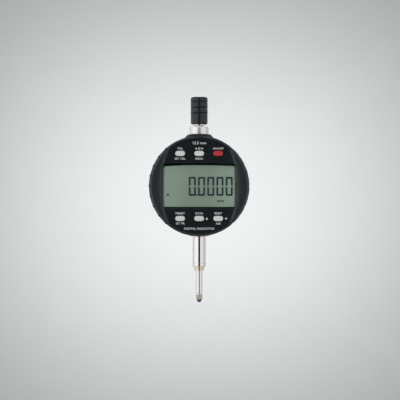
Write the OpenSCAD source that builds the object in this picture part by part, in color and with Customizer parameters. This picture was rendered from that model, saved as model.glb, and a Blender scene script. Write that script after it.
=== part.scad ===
// Digital dial indicator: round display unit that swivels on a rear housing, stem and measuring spindle
// Origin at mid-length of the exposed stem, +Z up along the spindle, the display faces -Y, millimetres

/* [Overall] */
// Diameter of the display unit
body_d = 62; // [61:0.5:76]
// Distance from the spindle axis to the display face
front_depth = 17.5; // [17:0.5:22]
// Length of stem outside the housing
stem_length = 19.3; // [15:0.1:26]
// Travel of the spindle
travel = 12.5; // [8:0.5:16]

/* [Display] */
// Width of the window at its middle
window_w = 45.5; // [36:0.5:46]
// Height of the window at its middle
window_h = 27.9; // [22:0.1:28]
// Width of a key
key_w = 6; // [4.5:0.1:7.5]
// Height of a key
key_h = 3.2; // [2.4:0.1:3.6]
// Distance between key centres in a row
key_pitch = 11.7; // [10:0.1:12.5]
// Height of the key rows above and below the centre
key_row = 20; // [19.6:0.1:20.4]
// How far a key can be pressed
key_travel = 0.4; // [0.2:0.1:0.6]

/* [Spindle and stem] */
// Diameter of the mounting stem
stem_d = 8; // [8:0.5:9.5]
// Diameter of the measuring spindle
spindle_d = 4; // [3.4:0.1:4.8]
// Diameter of the ball on the contact point
ball_d = 3; // [2:0.1:3.4]
// Diameter of the lifting cap
cap_d = 10.55; // [9:0.05:12.7]
// Diameter of the collar under the cap
sleeve_d = 11.6; // [10.5:0.1:14]

/* [Battery] */
// Diameter of the coin cell
cell_d = 20; // [16:0.5:20]
// Thickness of the coin cell
cell_h = 3.2; // [2:0.1:3.2]

/* [Fits] */
// Radial clearance of the spindle in its guides
slide_gap = 0.04; // [0.02:0.01:0.08]
// Radial clearance of the swivel hub in the housing
swivel_gap = 0.08; // [0.03:0.01:0.1]
// Clearance round pieces that are fixed in place
seat_gap = 0.02; // [0:0.01:0.06]
// Clearance round each key
key_gap = 0.15; // [0.1:0.05:0.3]

/* [Hidden] */
$fn = 72;
cut = 1; // how far a cutting shape runs past the face that it cuts
body_r = body_d / 2;
body_z = stem_length / 2 + body_r;
stem_r = stem_d / 2;
spindle_r = spindle_d / 2;

// small screws: shank, tapped hole, clearance hole, pan head, countersunk head and its seat
screw_r = 0.78;
pilot_r = screw_r + seat_gap;
clear_r = screw_r + 0.07;
pan_r = 1.35;
pan_h = 0.9;
sunk_r = 1.85;
sunk_h = 1.05;
sunk_gap = 0.2;

// bezel
rim_step = 1.5;      // the flat face ends this far inside the edge
rim_slope = 0.9;     // drop of the sloping edge
rim_r = body_r - rim_step;
skirt_t = 1.8;
skirt_r = body_r - skirt_t;
front_wall = 2;
band_drop = 0.5;     // step down to the bands left and right of the keys
band_in = 6.6;       // the bands start this far inside the edge
band_bow = 58;       // radius of their inner edge
lens_drop = 1.3;
side_bow = 113;      // radii of the window's sides, top and bottom
top_bow = 403;
low_bow = 800;
window_up = 0.35;    // height of the window's middle above the centre
grip_step = 12;      // angle between the grip ribs and grooves
grip_end = 48;
rib_r = 0.6;
rib_out = 0.3;       // a rib stands out this far
groove_r = 0.5;
groove_out = 0.2;    // a groove's middle is this far outside the skirt

// display stack, front to back
lens_t = 1;
lens_edge = 1.05;    // the lens is wider than the window by this much all round
lens_seat = 0.1;     // clearance round the lens
glass_t = 1;         // each of the two glasses
glass_more_w = 1.5;  // the glass is wider and higher than the window
glass_more_h = 0.7;
glass_lip = 3;       // ledge of the front glass that takes the contact strips
glass_seat = 0.15;
tray_edge = 1.4;     // wall of the tray round the glass
tray_in = 0.5;       // clearance of the tray inside the skirt
strip_h = 2;
board_drop = 6.5;
board_t = 1;
board_in = 0.6;
face_y = -front_depth;
band_y = face_y + band_drop;
lens_y = face_y + lens_drop;
wall_y = face_y + front_wall;
glass_y = lens_y + lens_t + 0.1;
board_y = face_y + board_drop;
board_back = board_y + board_t;
glass_w = window_w + glass_more_w;
glass_h = window_h + glass_more_h;
strip_z = glass_h / 2 - glass_lip / 2;
tray_r = skirt_r - tray_in;

// keys and their mats
key_proud = key_travel + 0.15;
key_flange = 0.9;    // depth of a key behind the front face of the wall
key_edge = 0.7;      // a key's flange is wider by this much all round
mat_t = 0.8;
mat_h = 5.6;
mat_end = 3.7;       // the mat runs this far past the last key's middle
dome_r = 2.2;
dome_top = 1.3;

// places of the screws, as distance from the centre and angle above the middle
boss_at = body_r - 3.5;
boss_angle = 48;
boss_r = 2.2;
ear_at = body_r - 4.1;
ear_angle = 37;
ear_r = 1.7;
ear_deep = 2.6;
fix_at = body_r - 5;
fix_angle = 35;
fix_r = 2.4;

// base plate and swivel
base_y = -8.2;
base_t = 1.4;
base_back = base_y + base_t;
base_in = 0.1;
hub_r = 7;
hub_bore = 4.5;
hub_end = -3.6;
ring_y = -4.66;
ring_t = 0.6;
ring_out = 1.6;      // the ring stands out of its groove
ring_deep = 0.6;
ring_slit = 4.4;
washer_in = 8;
washer_out = 10.8;
stop_in = 12;
stop_out = 14;
stop_half = 19.5;    // half of a stop's angle
stop_h = 0.35;

// rear housing and back cover
house_y = -6.2;
floor_t = 1.4;
inner_y = house_y + floor_t;
rear_y = 7;
cover_t = 2;
cover_y = rear_y + cover_t;
cover_edge = 0.5;
house_r = body_r - 0.6;
house_t = 1.8;
inner_r = house_r - house_t;
seal_in = 0.5;
seal_t = 0.6;
cover_screw_r = 0.85;
cover_clear_r = 1.1;
cover_head_r = 1.95;
cover_screw_y = 1;
neck_r = 9.5;        // shoulder on top of the housing, at its foot and at its top
neck_top_r = 7.1;
neck_y = 12;
boss_top = body_r - 5.5;
foot_r = 6;          // boss round the stem
neck_top = body_r + 1.3;

// battery
cell_step = 0.4;     // height of the step on the cell's minus side
cell_rim = 1.3;
cell_top = rear_y - 0.2;
cell_in = 1.6;
cell_r = cell_d / 2;
cell_x = inner_r - cell_r - cell_in;
cell_y = cell_top - cell_h;
holder_t = 1.2;
holder_gap = 0.2;
holder_y = cell_y - 1.8;
holder_back = rear_y - 0.4;
hatch_out = 1.8;     // flange and thread of the battery cover, outside the cell's radius
hatch_in = 0.6;
hatch_gap = 0.1;
hatch_t = 0.8;
slot_w = 13;
slot_h = 1.6;
hatch_seal_t = 0.3;
leaf_t = 0.3;        // spring contacts
leaf_w = 4.2;
tail_w = 3;
tail_x = 4;

// guide frame and sensor
bar_t = 3;
bar_in = body_r - 13;
bar_out = bar_in + bar_t;
bar_mid = bar_in + bar_t / 2;
frame_x = -16;
upright_t = 2.5;
frame_end = 7;
frame_y = 2.6;
upright_x = frame_x + upright_t / 2;
arm_x = 5.6;         // frame screws in the two arms
post_x = 2.4;
post_z = bar_in - 1;
post_r = 1.25;
sensor_y = 4.2;
sensor_t = 1;
frame_head_r = 1.2;
frame_head_h = 1.1;
rod_x = -9;
rod_r = 1;
rod_over = 1.9;
stop_r = 3.9;        // rubber stop washer
stop_t = 0.8;
link_x = -12.16;     // where the cable drops to the sensor board
cable_t = 0.16;
cable_w = 4.4;

// data port in the left side
port_y = 0.6;
port_deep = 4.2;
port_h = 9.2;
port_gap = 0.15;
port_t = 1.6;
socket_y = 1.2;
socket_deep = 3;
socket_h = 8;
socket_wall = 0.8;
socket_l = 6;

// bushes and stem
bush_r = spindle_r + 1;
bore_r = spindle_r + 0.6;
bush_deep = 6.1;
flange_deep = 2.3;
flange_t = 1.3;
wiper_t = 1;
stem_in = 4;         // the stem's full diameter runs this far into the housing
stem_step = 0.5;     // thread behind it
relief_h = 0.6;      // ground relief where the stem meets the housing
relief_t = 0.3;
line_at = 2.1;       // turned line near the stem's end
line_h = 0.4;
nut_r = 5.2;
nut_h = 3;
sleeve_h = 4.8;
sleeve_in_r = 4.4;

// moving spindle, heights from the centre of the display unit
stem_end = -(body_r + stem_length);
bush_end = stem_end - flange_deep;
tip_gap = 1.6;       // between the lifted contact point and the bush
tip_top = bush_end - travel - tip_gap;
tip_h = 5.7;
tip_end = tip_top - tip_h;
tip_shank_r = 1.25;
tip_shank_h = 5;
collar_t = 0.9;
collar_in = 0.25;
knurl_end = 3.6;
knurl_step = 20;
knurl_r = 0.18;
ball_in = 1.1;
spring_rest = 3;     // length of the spring when the spindle is lifted
spring_in = 0.45;
spring_t = 0.4;
spring_turns = 7;
seat_z = bar_in - spring_rest - travel;
sleeve_top = neck_top + sleeve_h;
cap_gap = 0.3;
cap_low = sleeve_top + cap_gap;
insert_r = 3.2;
insert_top = 8.8;
insert_edge = 1.1;   // the insert's flange is this much smaller than the cap
insert_dome = 14;
flange_top = 1.2;
stud_r = 1.5;
stud_top = 7.6;
cap_h = 18.3;
cap_round = 1.3;
cap_low_step = 0.7;
cap_ribs = [8.5, 12.1, 15.6];
carrier_w = 9.6;
carrier_y = -2.6;
carrier_back = 3;
arm_w = 3.6;
arm_low = 8.5;
arm_top = 2.5;
strip_t = 0.7;
strip_w = 8.4;
set_screw_z = seat_z - 10.5;

// ---- helpers: everything below is placed from the centre of the display unit ----
module at_body() {
    translate([0, 0, body_z]) children();
}

// a round bar along Y from y0 to y1
module ybar(r, y0, y1, x = 0, z = 0) {
    translate([x, y0, z]) rotate([-90, 0, 0]) cylinder(r = r, h = y1 - y0);
}

// a cone along Y
module ycone(r0, r1, y0, y1, x = 0, z = 0) {
    translate([x, y0, z]) rotate([-90, 0, 0]) cylinder(r1 = r0, r2 = r1, h = y1 - y0);
}

// a bar along Z
module zbar(r, z0, z1, x = 0) {
    translate([x, 0, z0]) cylinder(r = r, h = z1 - z0);
}

// a tube along Z
module ztube(r0, r1, z0, z1) {
    difference() {
        zbar(r1, z0, z1);
        zbar(r0, z0 - cut, z1 + cut);
    }
}

// a ring about Y
module yring(r0, r1, y0, y1) {
    difference() {
        ybar(r1, y0, y1);
        ybar(r0, y0 - cut, y1 + cut);
    }
}

// a flat outline, drawn as x and z, with thickness from y0 to y1
module slab(y0, y1) {
    translate([0, y1, 0]) rotate([90, 0, 0]) linear_extrude(height = y1 - y0) children();
}

module block(x0, x1, y0, y1, z0, z1) {
    translate([x0, y0, z0]) cube([x1 - x0, y1 - y0, z1 - z0]);
}

// children in the four places that are this far from the centre at this angle
module corners(at, angle) {
    for (sx = [-1, 1]) for (sz = [-1, 1])
        translate([sx * at * cos(angle), 0, sz * at * sin(angle)]) children();
}

module pill(w, h) {
    square([w - h, h], center = true);
    translate([(w - h) / 2, 0]) circle(r = h / 2);
    translate([-(w - h) / 2, 0]) circle(r = h / 2);
}

// window outline with bowed sides; m widens it all round
module window_shape(m) {
    intersection() {
        translate([window_w / 2 - side_bow, 0]) circle(r = side_bow + m, $fn = 720);
        translate([side_bow - window_w / 2, 0]) circle(r = side_bow + m, $fn = 720);
        translate([0, window_up + window_h / 2 - top_bow]) circle(r = top_bow + m, $fn = 1440);
        translate([0, window_up - window_h / 2 + low_bow]) circle(r = low_bow + m, $fn = 2880);
    }
}

// a swivel stop: a ring sector about Y that points up
module stop_sector(y0, y1) {
    reach = 20;
    intersection() {
        yring(stop_in, stop_out, y0, y1);
        slab(y0, y1) polygon([[0, 0], [-reach * tan(stop_half), reach], [reach * tan(stop_half), reach]]);
    }
}

// ---- display unit ----
module bezel_shell() {
    rotate([-90, 0, 0]) rotate_extrude() polygon([[0, face_y], [rim_r, face_y], [body_r, face_y + rim_slope],
        [body_r, base_back], [skirt_r, base_back], [skirt_r, wall_y], [0, wall_y]]);
}

module band_recess() {
    edge = body_r - band_in - band_bow;
    intersection() {
        ybar(rim_r - 0.05, face_y - cut, band_y);
        ybar(band_bow, face_y - cut, band_y, x = edge);
        ybar(band_bow, face_y - cut, band_y, x = -edge);
    }
}

module front_bezel() color([0.09, 0.11, 0.12]) at_body() difference() {
    union() {
        bezel_shell();
        for (a = [-grip_end:grip_step:grip_end]) rotate([0, a, 0])
            ybar(rib_r, face_y + 1, base_back - 0.3, x = -body_r - rib_out + rib_r);
        corners(boss_at, boss_angle) ybar(boss_r, wall_y - 0.2, base_y);
    }
    band_recess();
    slab(face_y - cut, wall_y + cut) window_shape(0);
    slab(lens_y, wall_y + cut) intersection() {
        window_shape(lens_edge + lens_seat);
        circle(r = tray_r + 2 * lens_seat);
    }
    for (i = [-1:1]) for (s = [-1, 1]) translate([i * key_pitch, 0, s * key_row])
        slab(face_y - cut, wall_y + cut) pill(key_w + 2 * key_gap, key_h + 2 * key_gap);
    corners(boss_at, boss_angle) ybar(pilot_r, base_y - 4, base_back + cut);
    for (a = [-grip_end:grip_step:grip_end]) rotate([0, a, 0])
        ybar(groove_r, face_y + 1, base_back + cut, x = body_r + groove_out);
}

module display_lens() color([0.8, 0.86, 0.88, 0.35]) at_body()
    slab(lens_y, lens_y + lens_t) intersection() {
        window_shape(lens_edge);
        circle(r = tray_r + lens_seat);
    }

module lcd_panel() color([0.45, 0.52, 0.46]) at_body() translate([0, 0, window_up]) {
    block(-glass_w / 2, glass_w / 2, glass_y, glass_y + glass_t, -glass_h / 2, glass_h / 2);
    block(-glass_w / 2, glass_w / 2, glass_y + glass_t, glass_y + 2 * glass_t,
        glass_lip - glass_h / 2, glass_h / 2 - glass_lip);
}

module lcd_frame() color([0.16, 0.16, 0.17]) at_body() {
    w = glass_w / 2;
    h = glass_h / 2;
    tray_y = lens_y + lens_t;
    difference() {
        union() {
            intersection() {
                translate([0, 0, window_up])
                    block(-w - tray_edge, w + tray_edge, tray_y, board_y, -h - tray_edge, h + tray_edge);
                ybar(tray_r, lens_y, board_y + cut);
            }
            corners(ear_at, ear_angle) ybar(ear_r, tray_y, board_y);
        }
        translate([0, 0, window_up]) {
            block(-w - glass_seat, w + glass_seat, lens_y, glass_y + 2 * glass_t + 0.05,
                -h - glass_seat, h + glass_seat);
            for (s = [-1, 1]) translate([0, 0, s * strip_z])
                block(-w + 2.3, w - 2.3, glass_y, board_y + cut, -strip_h / 2 - 0.2, strip_h / 2 + 0.2);
        }
        corners(ear_at, ear_angle) ybar(pilot_r, board_y - ear_deep, board_y + cut);
    }
}

module zebra_strips() color([0.55, 0.35, 0.4]) at_body() translate([0, 0, window_up])
    for (s = [-1, 1]) translate([0, 0, s * strip_z])
        block(-glass_w / 2 + 2.5, glass_w / 2 - 2.5, glass_y + glass_t, board_y, -strip_h / 2, strip_h / 2);

module display_board() color([0.06, 0.36, 0.2]) at_body() difference() {
    ybar(skirt_r - board_in, board_y, board_back);
    corners(boss_at, boss_angle) ybar(boss_r + 0.3, board_y - cut, board_back + cut);
    corners(ear_at, ear_angle) ybar(clear_r, board_y - cut, board_back + cut);
}

module board_screws() color([0.7, 0.7, 0.72]) at_body() corners(ear_at, ear_angle) {
    ybar(pan_r, board_back, board_back + pan_h);
    ybar(screw_r, board_y - ear_deep + 0.2, board_back + 0.1);
}

// a chip with two rows of legs, n legs each, standing on y0
module chip(x, y0, w, h, t, n) {
    leg = 0.6;
    translate([x, 0, 0]) {
        block(-w / 2, w / 2, y0 + 0.1, y0 + t, -h / 2, h / 2);
        for (i = [0:n - 1]) for (s = [-1, 1]) translate([s * (w / 2 + leg - 0.2), 0, (i - (n - 1) / 2) * 0.9])
            block(-leg, leg, y0, y0 + 0.3, -0.2, 0.2);
    }
}

module microcontroller() color([0.1, 0.1, 0.1]) at_body() chip(12.5, board_back, 9, 9, 1.4, 9);

module board_components() color([0.72, 0.6, 0.45]) at_body() {
    row_x = -9;
    row_z = 13;
    block(-16, -12, board_back, board_back + 1.2, 4, 10.5);
    for (i = [0:3]) for (s = [-1, 1]) translate([row_x + i * 3, 0, s * row_z])
        block(-0.6, 0.6, board_back, board_back + 0.7, -1, 1);
    ybar(2, board_back, board_back + 1.4, x = -14, z = -7);
}

module keypad_mat(s) at_body() {
    end = key_pitch + mat_end;
    block(-end, end, board_y - mat_t, board_y, s * key_row - mat_h / 2, s * key_row + mat_h / 2);
    for (i = [-1:1])
        ycone(dome_top, dome_r, wall_y + key_flange, board_y - mat_t + 0.1, x = i * key_pitch, z = s * key_row);
}

module keypad_mat_upper() color([0.75, 0.74, 0.7]) keypad_mat(1);
module keypad_mat_lower() color([0.75, 0.74, 0.7]) keypad_mat(-1);

module flex_connector_front() color([0.85, 0.82, 0.72]) at_body()
    block(-1.6, 1.6, board_back, board_back + 1.2, -3.2, 3.2);

module key_cap(i, s) at_body() translate([i * key_pitch, 0, s * key_row]) {
    slab(face_y - key_proud, wall_y + 0.3) pill(key_w, key_h);
    slab(wall_y + seat_gap, wall_y + key_flange) pill(key_w + 2 * key_edge, key_h + 2 * key_edge);
}

module button_tolerance() color([0.82, 0.8, 0.79]) key_cap(-1, 1);
module button_menu() color([0.82, 0.8, 0.79]) key_cap(0, 1);
module button_power() color([0.75, 0.1, 0.1]) key_cap(1, 1);
module button_preset() color([0.82, 0.8, 0.79]) key_cap(-1, -1);
module button_data() color([0.82, 0.8, 0.79]) key_cap(0, -1);
module button_reset() color([0.82, 0.8, 0.79]) key_cap(1, -1);

module display_base() color([0.14, 0.15, 0.16]) at_body() difference() {
    union() {
        ybar(skirt_r - base_in, base_y, base_back);
        ybar(hub_r, base_y, hub_end);
        stop_sector(base_back - 0.1, base_back + stop_h);
    }
    ybar(hub_bore, base_y - cut, hub_end + cut);
    yring(hub_r - ring_deep, hub_r + cut, ring_y - seat_gap, ring_y + ring_t + 3 * seat_gap);
    corners(boss_at, boss_angle) {
        ybar(clear_r + 0.1, base_y - cut, base_back + cut);
        ycone(clear_r + 0.1, sunk_r + sunk_gap, base_back - sunk_h, base_back);
        ybar(sunk_r + sunk_gap, base_back, base_back + cut);
    }
}

module base_screws() color([0.7, 0.7, 0.72]) at_body() corners(boss_at, boss_angle) {
    ycone(screw_r, sunk_r, base_back - sunk_h, base_back - 0.05);
    ybar(screw_r, base_y - 3.8, base_back - sunk_h + 0.1);
}

module swivel_retaining_ring() color([0.6, 0.6, 0.62]) at_body() difference() {
    yring(hub_r - ring_deep + 0.05, hub_r + ring_out, ring_y, ring_y + ring_t);
    block(-ring_slit / 2, ring_slit / 2, ring_y - cut, ring_y + ring_t + cut, -hub_r - 3, 0);
}

module swivel_washer() color([0.12, 0.12, 0.12]) at_body()
    yring(washer_in, washer_out, base_back, house_y - seat_gap);

module flex_cable() color([0.75, 0.4, 0.12]) at_body() {
    bend_y = inner_y + 1.5;
    half = cable_w / 2;
    block(-cable_t / 2, cable_t / 2, board_back + 1.2, bend_y, -half, half);
    block(link_x, cable_t / 2, bend_y - cable_t, bend_y, -half, half);
    block(link_x, link_x + cable_t, bend_y - cable_t, 3, -half, half);
}

// ---- rear housing ----
module housing_solid() {
    low = boss_top - 1.5;
    difference() {
        ybar(house_r, house_y, rear_y);
        ybar(inner_r, inner_y, rear_y + cut);
    }
    intersection() {
        rotate_extrude() polygon([[0, low], [neck_r, low], [neck_r, body_r - 1.5],
            [neck_r - 1, body_r - 0.1], [neck_top_r, neck_top], [0, neck_top]]);
        block(-neck_y, neck_y, house_y, rear_y, 0, neck_top + cut);
    }
    zbar(foot_r, -body_r, -boss_top);
    corners(fix_at, fix_angle) ybar(fix_r, inner_y - 0.2, rear_y);
    mirror([0, 0, 1]) stop_sector(house_y - stop_h, house_y + 0.1);
}

module rear_housing() color([0.1, 0.11, 0.12]) at_body() difference() {
    housing_solid();
    ybar(hub_r + swivel_gap, house_y - cut, inner_y + cut);
    zbar(stem_r + seat_gap, -body_r - cut, stem_in - body_r);
    zbar(stem_r - stem_step + seat_gap, -body_r, -boss_top + cut);
    zbar(sleeve_in_r + seat_gap, boss_top - 3, neck_top + cut);
    yring(inner_r + seal_in, house_r - seal_in, rear_y - seal_t, rear_y + cut);
    corners(fix_at, fix_angle) ybar(cover_screw_r + seat_gap, 0, rear_y + cut);
    block(-house_r - cut, -inner_r + port_t, port_y, port_y + port_deep, -port_h / 2, port_h / 2);
    ybar(pilot_r, inner_y - 0.9, 0, x = upright_x);
    for (s = [-1, 1]) ybar(pilot_r, inner_y - 0.9, 0, x = arm_x, z = s * bar_mid);
}

module back_cover() color([0.13, 0.14, 0.15]) at_body() difference() {
    rotate([-90, 0, 0]) rotate_extrude() polygon([[0, rear_y], [house_r, rear_y],
        [house_r, cover_y - cover_edge], [house_r - cover_edge, cover_y], [0, cover_y]]);
    ybar(cell_r + hatch_in + hatch_gap, rear_y - cut, cover_y + cut, x = cell_x);
    ybar(cell_r + hatch_out + hatch_gap, cover_y - hatch_t - hatch_seal_t, cover_y + cut, x = cell_x);
    corners(fix_at, fix_angle) {
        ybar(cover_clear_r, rear_y - cut, cover_y + cut);
        ycone(cover_clear_r, cover_head_r + sunk_gap, cover_y - sunk_h, cover_y);
        ybar(cover_head_r + sunk_gap, cover_y, cover_y + cut);
    }
}

module back_cover_seal() color([0.15, 0.15, 0.15]) at_body()
    yring(inner_r + seal_in + 0.05, house_r - seal_in - 0.05, rear_y - seal_t + seat_gap, rear_y);

module back_cover_screws() color([0.7, 0.7, 0.72]) at_body() corners(fix_at, fix_angle) {
    ycone(cover_screw_r, cover_head_r, cover_y - sunk_h, cover_y - 0.05);
    ybar(cover_screw_r, cover_screw_y, cover_y - sunk_h + 0.1);
}

module battery_cover() color([0.1, 0.11, 0.12]) at_body() translate([cell_x, 0, 0]) difference() {
    union() {
        ybar(cell_r + hatch_in, rear_y - 0.1, cover_y - hatch_t + 0.1);
        ybar(cell_r + hatch_out, cover_y - hatch_t, cover_y);
    }
    block(-slot_w / 2, slot_w / 2, cover_y - 0.9, cover_y + cut, -slot_h / 2, slot_h / 2);
}

module battery_cover_seal() color([0.2, 0.2, 0.2]) at_body() translate([cell_x, 0, 0])
    yring(cell_r + hatch_in + 0.15, cell_r + hatch_out, cover_y - hatch_t - hatch_seal_t, cover_y - hatch_t);

module battery_holder() color([0.2, 0.2, 0.22]) at_body() translate([cell_x, 0, 0]) difference() {
    union() {
        ybar(cell_r + holder_t, holder_y, holder_back);
        for (s = [-1, 1]) ybar(1.8, inner_y, holder_y + 0.1, z = s * (cell_r - 2));
    }
    ybar(cell_r + holder_gap, holder_y + 1, holder_back + cut);
    block(-7, leaf_w / 2 + 0.1, holder_y + 1.2, holder_back + cut, cell_r - 0.8, cell_r + 3);
    block(-cell_r - 3, -cell_r + 2, holder_y + 1, cell_y - 0.2, -tail_w / 2 - 0.3, tail_w / 2 + 0.3);
}

module coin_cell() color([0.78, 0.78, 0.8]) at_body() translate([cell_x, 0, 0]) {
    ybar(cell_r - cell_rim, cell_y, cell_y + cell_step + 0.1);
    ybar(cell_r, cell_y + cell_step, cell_top);
}

module battery_contact_plus() color([0.8, 0.75, 0.6]) at_body() {
    z = cell_r + 0.05;
    half = leaf_w / 2;
    back = sensor_y + sensor_t;
    block(cell_x - half, cell_x + half, cell_y, 6.4, z, z + leaf_t);
    block(tail_x, cell_x - half + 0.1, back, back + leaf_t, z, z + leaf_t);
}

module battery_contact_minus() color([0.8, 0.75, 0.6]) at_body() {
    half = tail_w / 2;
    x = cell_x - cell_r - 1.7;
    back = sensor_y + sensor_t;
    block(x, cell_x + 2, cell_y - 0.8, cell_y - 0.5, -half, half);
    ycone(1.4, 0.7, cell_y - 0.6, cell_y, x = cell_x);
    block(x, x + leaf_t, cell_y - 0.8, back + leaf_t, -half, half);
    block(tail_x, x + leaf_t, back, back + leaf_t, -half, half);
}

// ---- stem, guides and frame ----
module mounting_stem() color([0.75, 0.76, 0.78]) at_body() {
    thread_r = stem_r - stem_step;
    top = nut_h + 0.7 - boss_top;
    difference() {
        rotate_extrude() polygon([[0, stem_end], [stem_r - 0.3, stem_end], [stem_r, stem_end + 0.7],
            [stem_r, stem_end + line_at], [stem_r - relief_t, stem_end + line_at],
            [stem_r - relief_t, stem_end + line_at + line_h], [stem_r, stem_end + line_at + line_h],
            [stem_r, -body_r - relief_h], [stem_r - relief_t, -body_r - relief_h],
            [stem_r - relief_t, -body_r], [stem_r, -body_r], [stem_r, stem_in - body_r],
            [thread_r, stem_in - body_r], [thread_r, top], [0, top]]);
        zbar(bore_r, stem_end - cut, top + cut);
        zbar(bush_r + seat_gap, stem_end - cut, stem_end + bush_deep + 0.1);
    }
}

module stem_lock_nut() color([0.7, 0.7, 0.72]) at_body() difference() {
    translate([0, 0, -boss_top]) cylinder(r = nut_r, h = nut_h, $fn = 6);
    zbar(stem_r - stem_step + seat_gap, -boss_top - cut, -boss_top + nut_h + cut);
}

module lower_guide_bush() color([0.8, 0.6, 0.25]) at_body() difference() {
    rotate_extrude() polygon([[0, bush_end], [bush_r, bush_end], [bush_r, bush_end + flange_t],
        [bush_r - 0.25, bush_end + flange_t], [bush_r - 0.25, stem_end], [bush_r, stem_end],
        [bush_r, stem_end + bush_deep], [0, stem_end + bush_deep]]);
    zbar(spindle_r + slide_gap, bush_end - cut, stem_end + bush_deep + cut);
    zbar(bush_r - 0.38, bush_end - cut, bush_end + wiper_t + 0.2);
}

module spindle_wiper() color([0.12, 0.12, 0.12]) at_body()
    ztube(spindle_r + slide_gap + 0.01, bush_r - 0.4, bush_end + 0.2, bush_end + 0.2 + wiper_t);

module upper_sleeve() color([0.78, 0.79, 0.8]) at_body() {
    sleeve_r = sleeve_d / 2;
    difference() {
        rotate_extrude() polygon([[0, boss_top], [sleeve_in_r, boss_top], [sleeve_in_r, neck_top],
            [sleeve_r, neck_top], [sleeve_r, sleeve_top - 0.3], [sleeve_r - 0.3, sleeve_top],
            [0, sleeve_top]]);
        zbar(bore_r, boss_top - cut, sleeve_top + cut);
        zbar(bush_r + seat_gap, boss_top + 1, sleeve_top + cut);
    }
}

module upper_guide_bush() color([0.8, 0.6, 0.25]) at_body()
    ztube(spindle_r + slide_gap, bush_r, boss_top + 1, sleeve_top - 0.5);

// places of the three frame screws
module frame_holes() {
    translate([upright_x, 0, 0]) children();
    for (s = [-1, 1]) translate([arm_x, 0, s * bar_mid]) children();
}

module guide_frame() color([0.6, 0.61, 0.63]) at_body() difference() {
    union() {
        block(frame_x, frame_x + upright_t, inner_y, frame_y, -bar_out, bar_out);
        block(frame_x, frame_end, inner_y, frame_y, bar_in, bar_out);
        block(frame_x, frame_end, inner_y, frame_y, -bar_out, -bar_in);
        for (s = [-1, 1]) {
            ybar(post_r, frame_y - 0.1, sensor_y, x = upright_x, z = s * post_z);
            ybar(post_r, frame_y - 0.1, sensor_y, x = post_x, z = s * bar_mid);
        }
    }
    zbar(spindle_r + 0.4, -bar_out - cut, bar_out + cut);
    zbar(rod_r + seat_gap, -bar_in - rod_over - 0.1, bar_in + rod_over + 0.1, x = rod_x);
    frame_holes() ybar(clear_r, inner_y - cut, frame_y + cut);
    for (s = [-1, 1]) ybar(pilot_r, -0.8, sensor_y + cut, x = upright_x, z = s * post_z);
}

module frame_screws() color([0.7, 0.7, 0.72]) at_body() frame_holes() {
    ybar(frame_head_r, frame_y, frame_y + frame_head_h);
    ybar(screw_r, inner_y - 0.8, frame_y + 0.1);
}

module guide_rod() color([0.78, 0.79, 0.8]) at_body()
    zbar(rod_r, -bar_in - rod_over, bar_in + rod_over, x = rod_x);

module stop_washer() color([0.15, 0.15, 0.15]) at_body()
    ztube(spindle_r + 0.5, stop_r, -bar_in, stop_t - bar_in);

module sensor_board() color([0.06, 0.36, 0.2]) at_body() difference() {
    wing = 4.6;
    slab(sensor_y, sensor_y + sensor_t) union() {
        translate([frame_x, -bar_out + 0.1]) square([21, 2 * bar_out - 0.2]);
        translate([-inner_r + wing, -7]) square([inner_r - wing + frame_x + 1, 14]);
    }
    for (s = [-1, 1]) ybar(clear_r, sensor_y - cut, sensor_y + sensor_t + cut, x = upright_x, z = s * post_z);
}

module sensor_chip() color([0.1, 0.1, 0.1]) at_body() chip(-8.5, sensor_y + sensor_t, 7, 7, 1.1, 7);

module sensor_board_screws() color([0.7, 0.7, 0.72]) at_body() for (s = [-1, 1]) {
    back = sensor_y + sensor_t;
    ybar(pan_r, back, back + pan_h, x = upright_x, z = s * post_z);
    ybar(screw_r, -0.6, back + 0.1, x = upright_x, z = s * post_z);
}

module flex_connector_rear() color([0.85, 0.82, 0.72]) at_body()
    block(link_x - 1.14, link_x + 0.96, sensor_y - 1.2, sensor_y, -3, 3);

module data_connector() color([0.66, 0.67, 0.7]) at_body() difference() {
    block(-inner_r + hatch_in, -inner_r + hatch_in + socket_l, socket_y, socket_y + socket_deep,
        -socket_h / 2, socket_h / 2);
    block(-inner_r - cut, -inner_r + socket_l - 1, socket_y + socket_wall, socket_y + socket_deep - socket_wall,
        1 - socket_h / 2, socket_h / 2 - 1);
}

// a plug pressed into the port, with a finger grip outside and a tongue in the socket
module data_port_cover() color([0.08, 0.08, 0.09]) at_body() {
    middle = port_y + port_deep / 2;
    intersection() {
        block(-house_r - cut, -inner_r + 0.4, port_y + port_gap, port_y + port_deep - port_gap,
            port_gap - port_h / 2, port_h / 2 - port_gap);
        ybar(house_r, port_y - cut, port_y + port_deep + cut);
    }
    block(-house_r - 0.4, -house_r + 1, middle - 1.3, middle + 1.3, -1.6, 1.6);
    block(-inner_r + 0.2, -inner_r + 2.4, middle - 0.55, middle + 0.55, -2.8, 2.8);
}

// ---- moving spindle ----
module spindle() color([0.8, 0.81, 0.83]) at_body() difference() {
    rotate_extrude() polygon([[0, tip_top], [spindle_r - 0.3, tip_top], [spindle_r, tip_top + 0.3],
        [spindle_r, cap_low + 0.9], [stud_r, cap_low + 0.9], [stud_r, cap_low + stud_top],
        [0, cap_low + stud_top]]);
    zbar(tip_shank_r + seat_gap, tip_top - cut, tip_top + tip_shank_h + 0.5);
}

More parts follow.
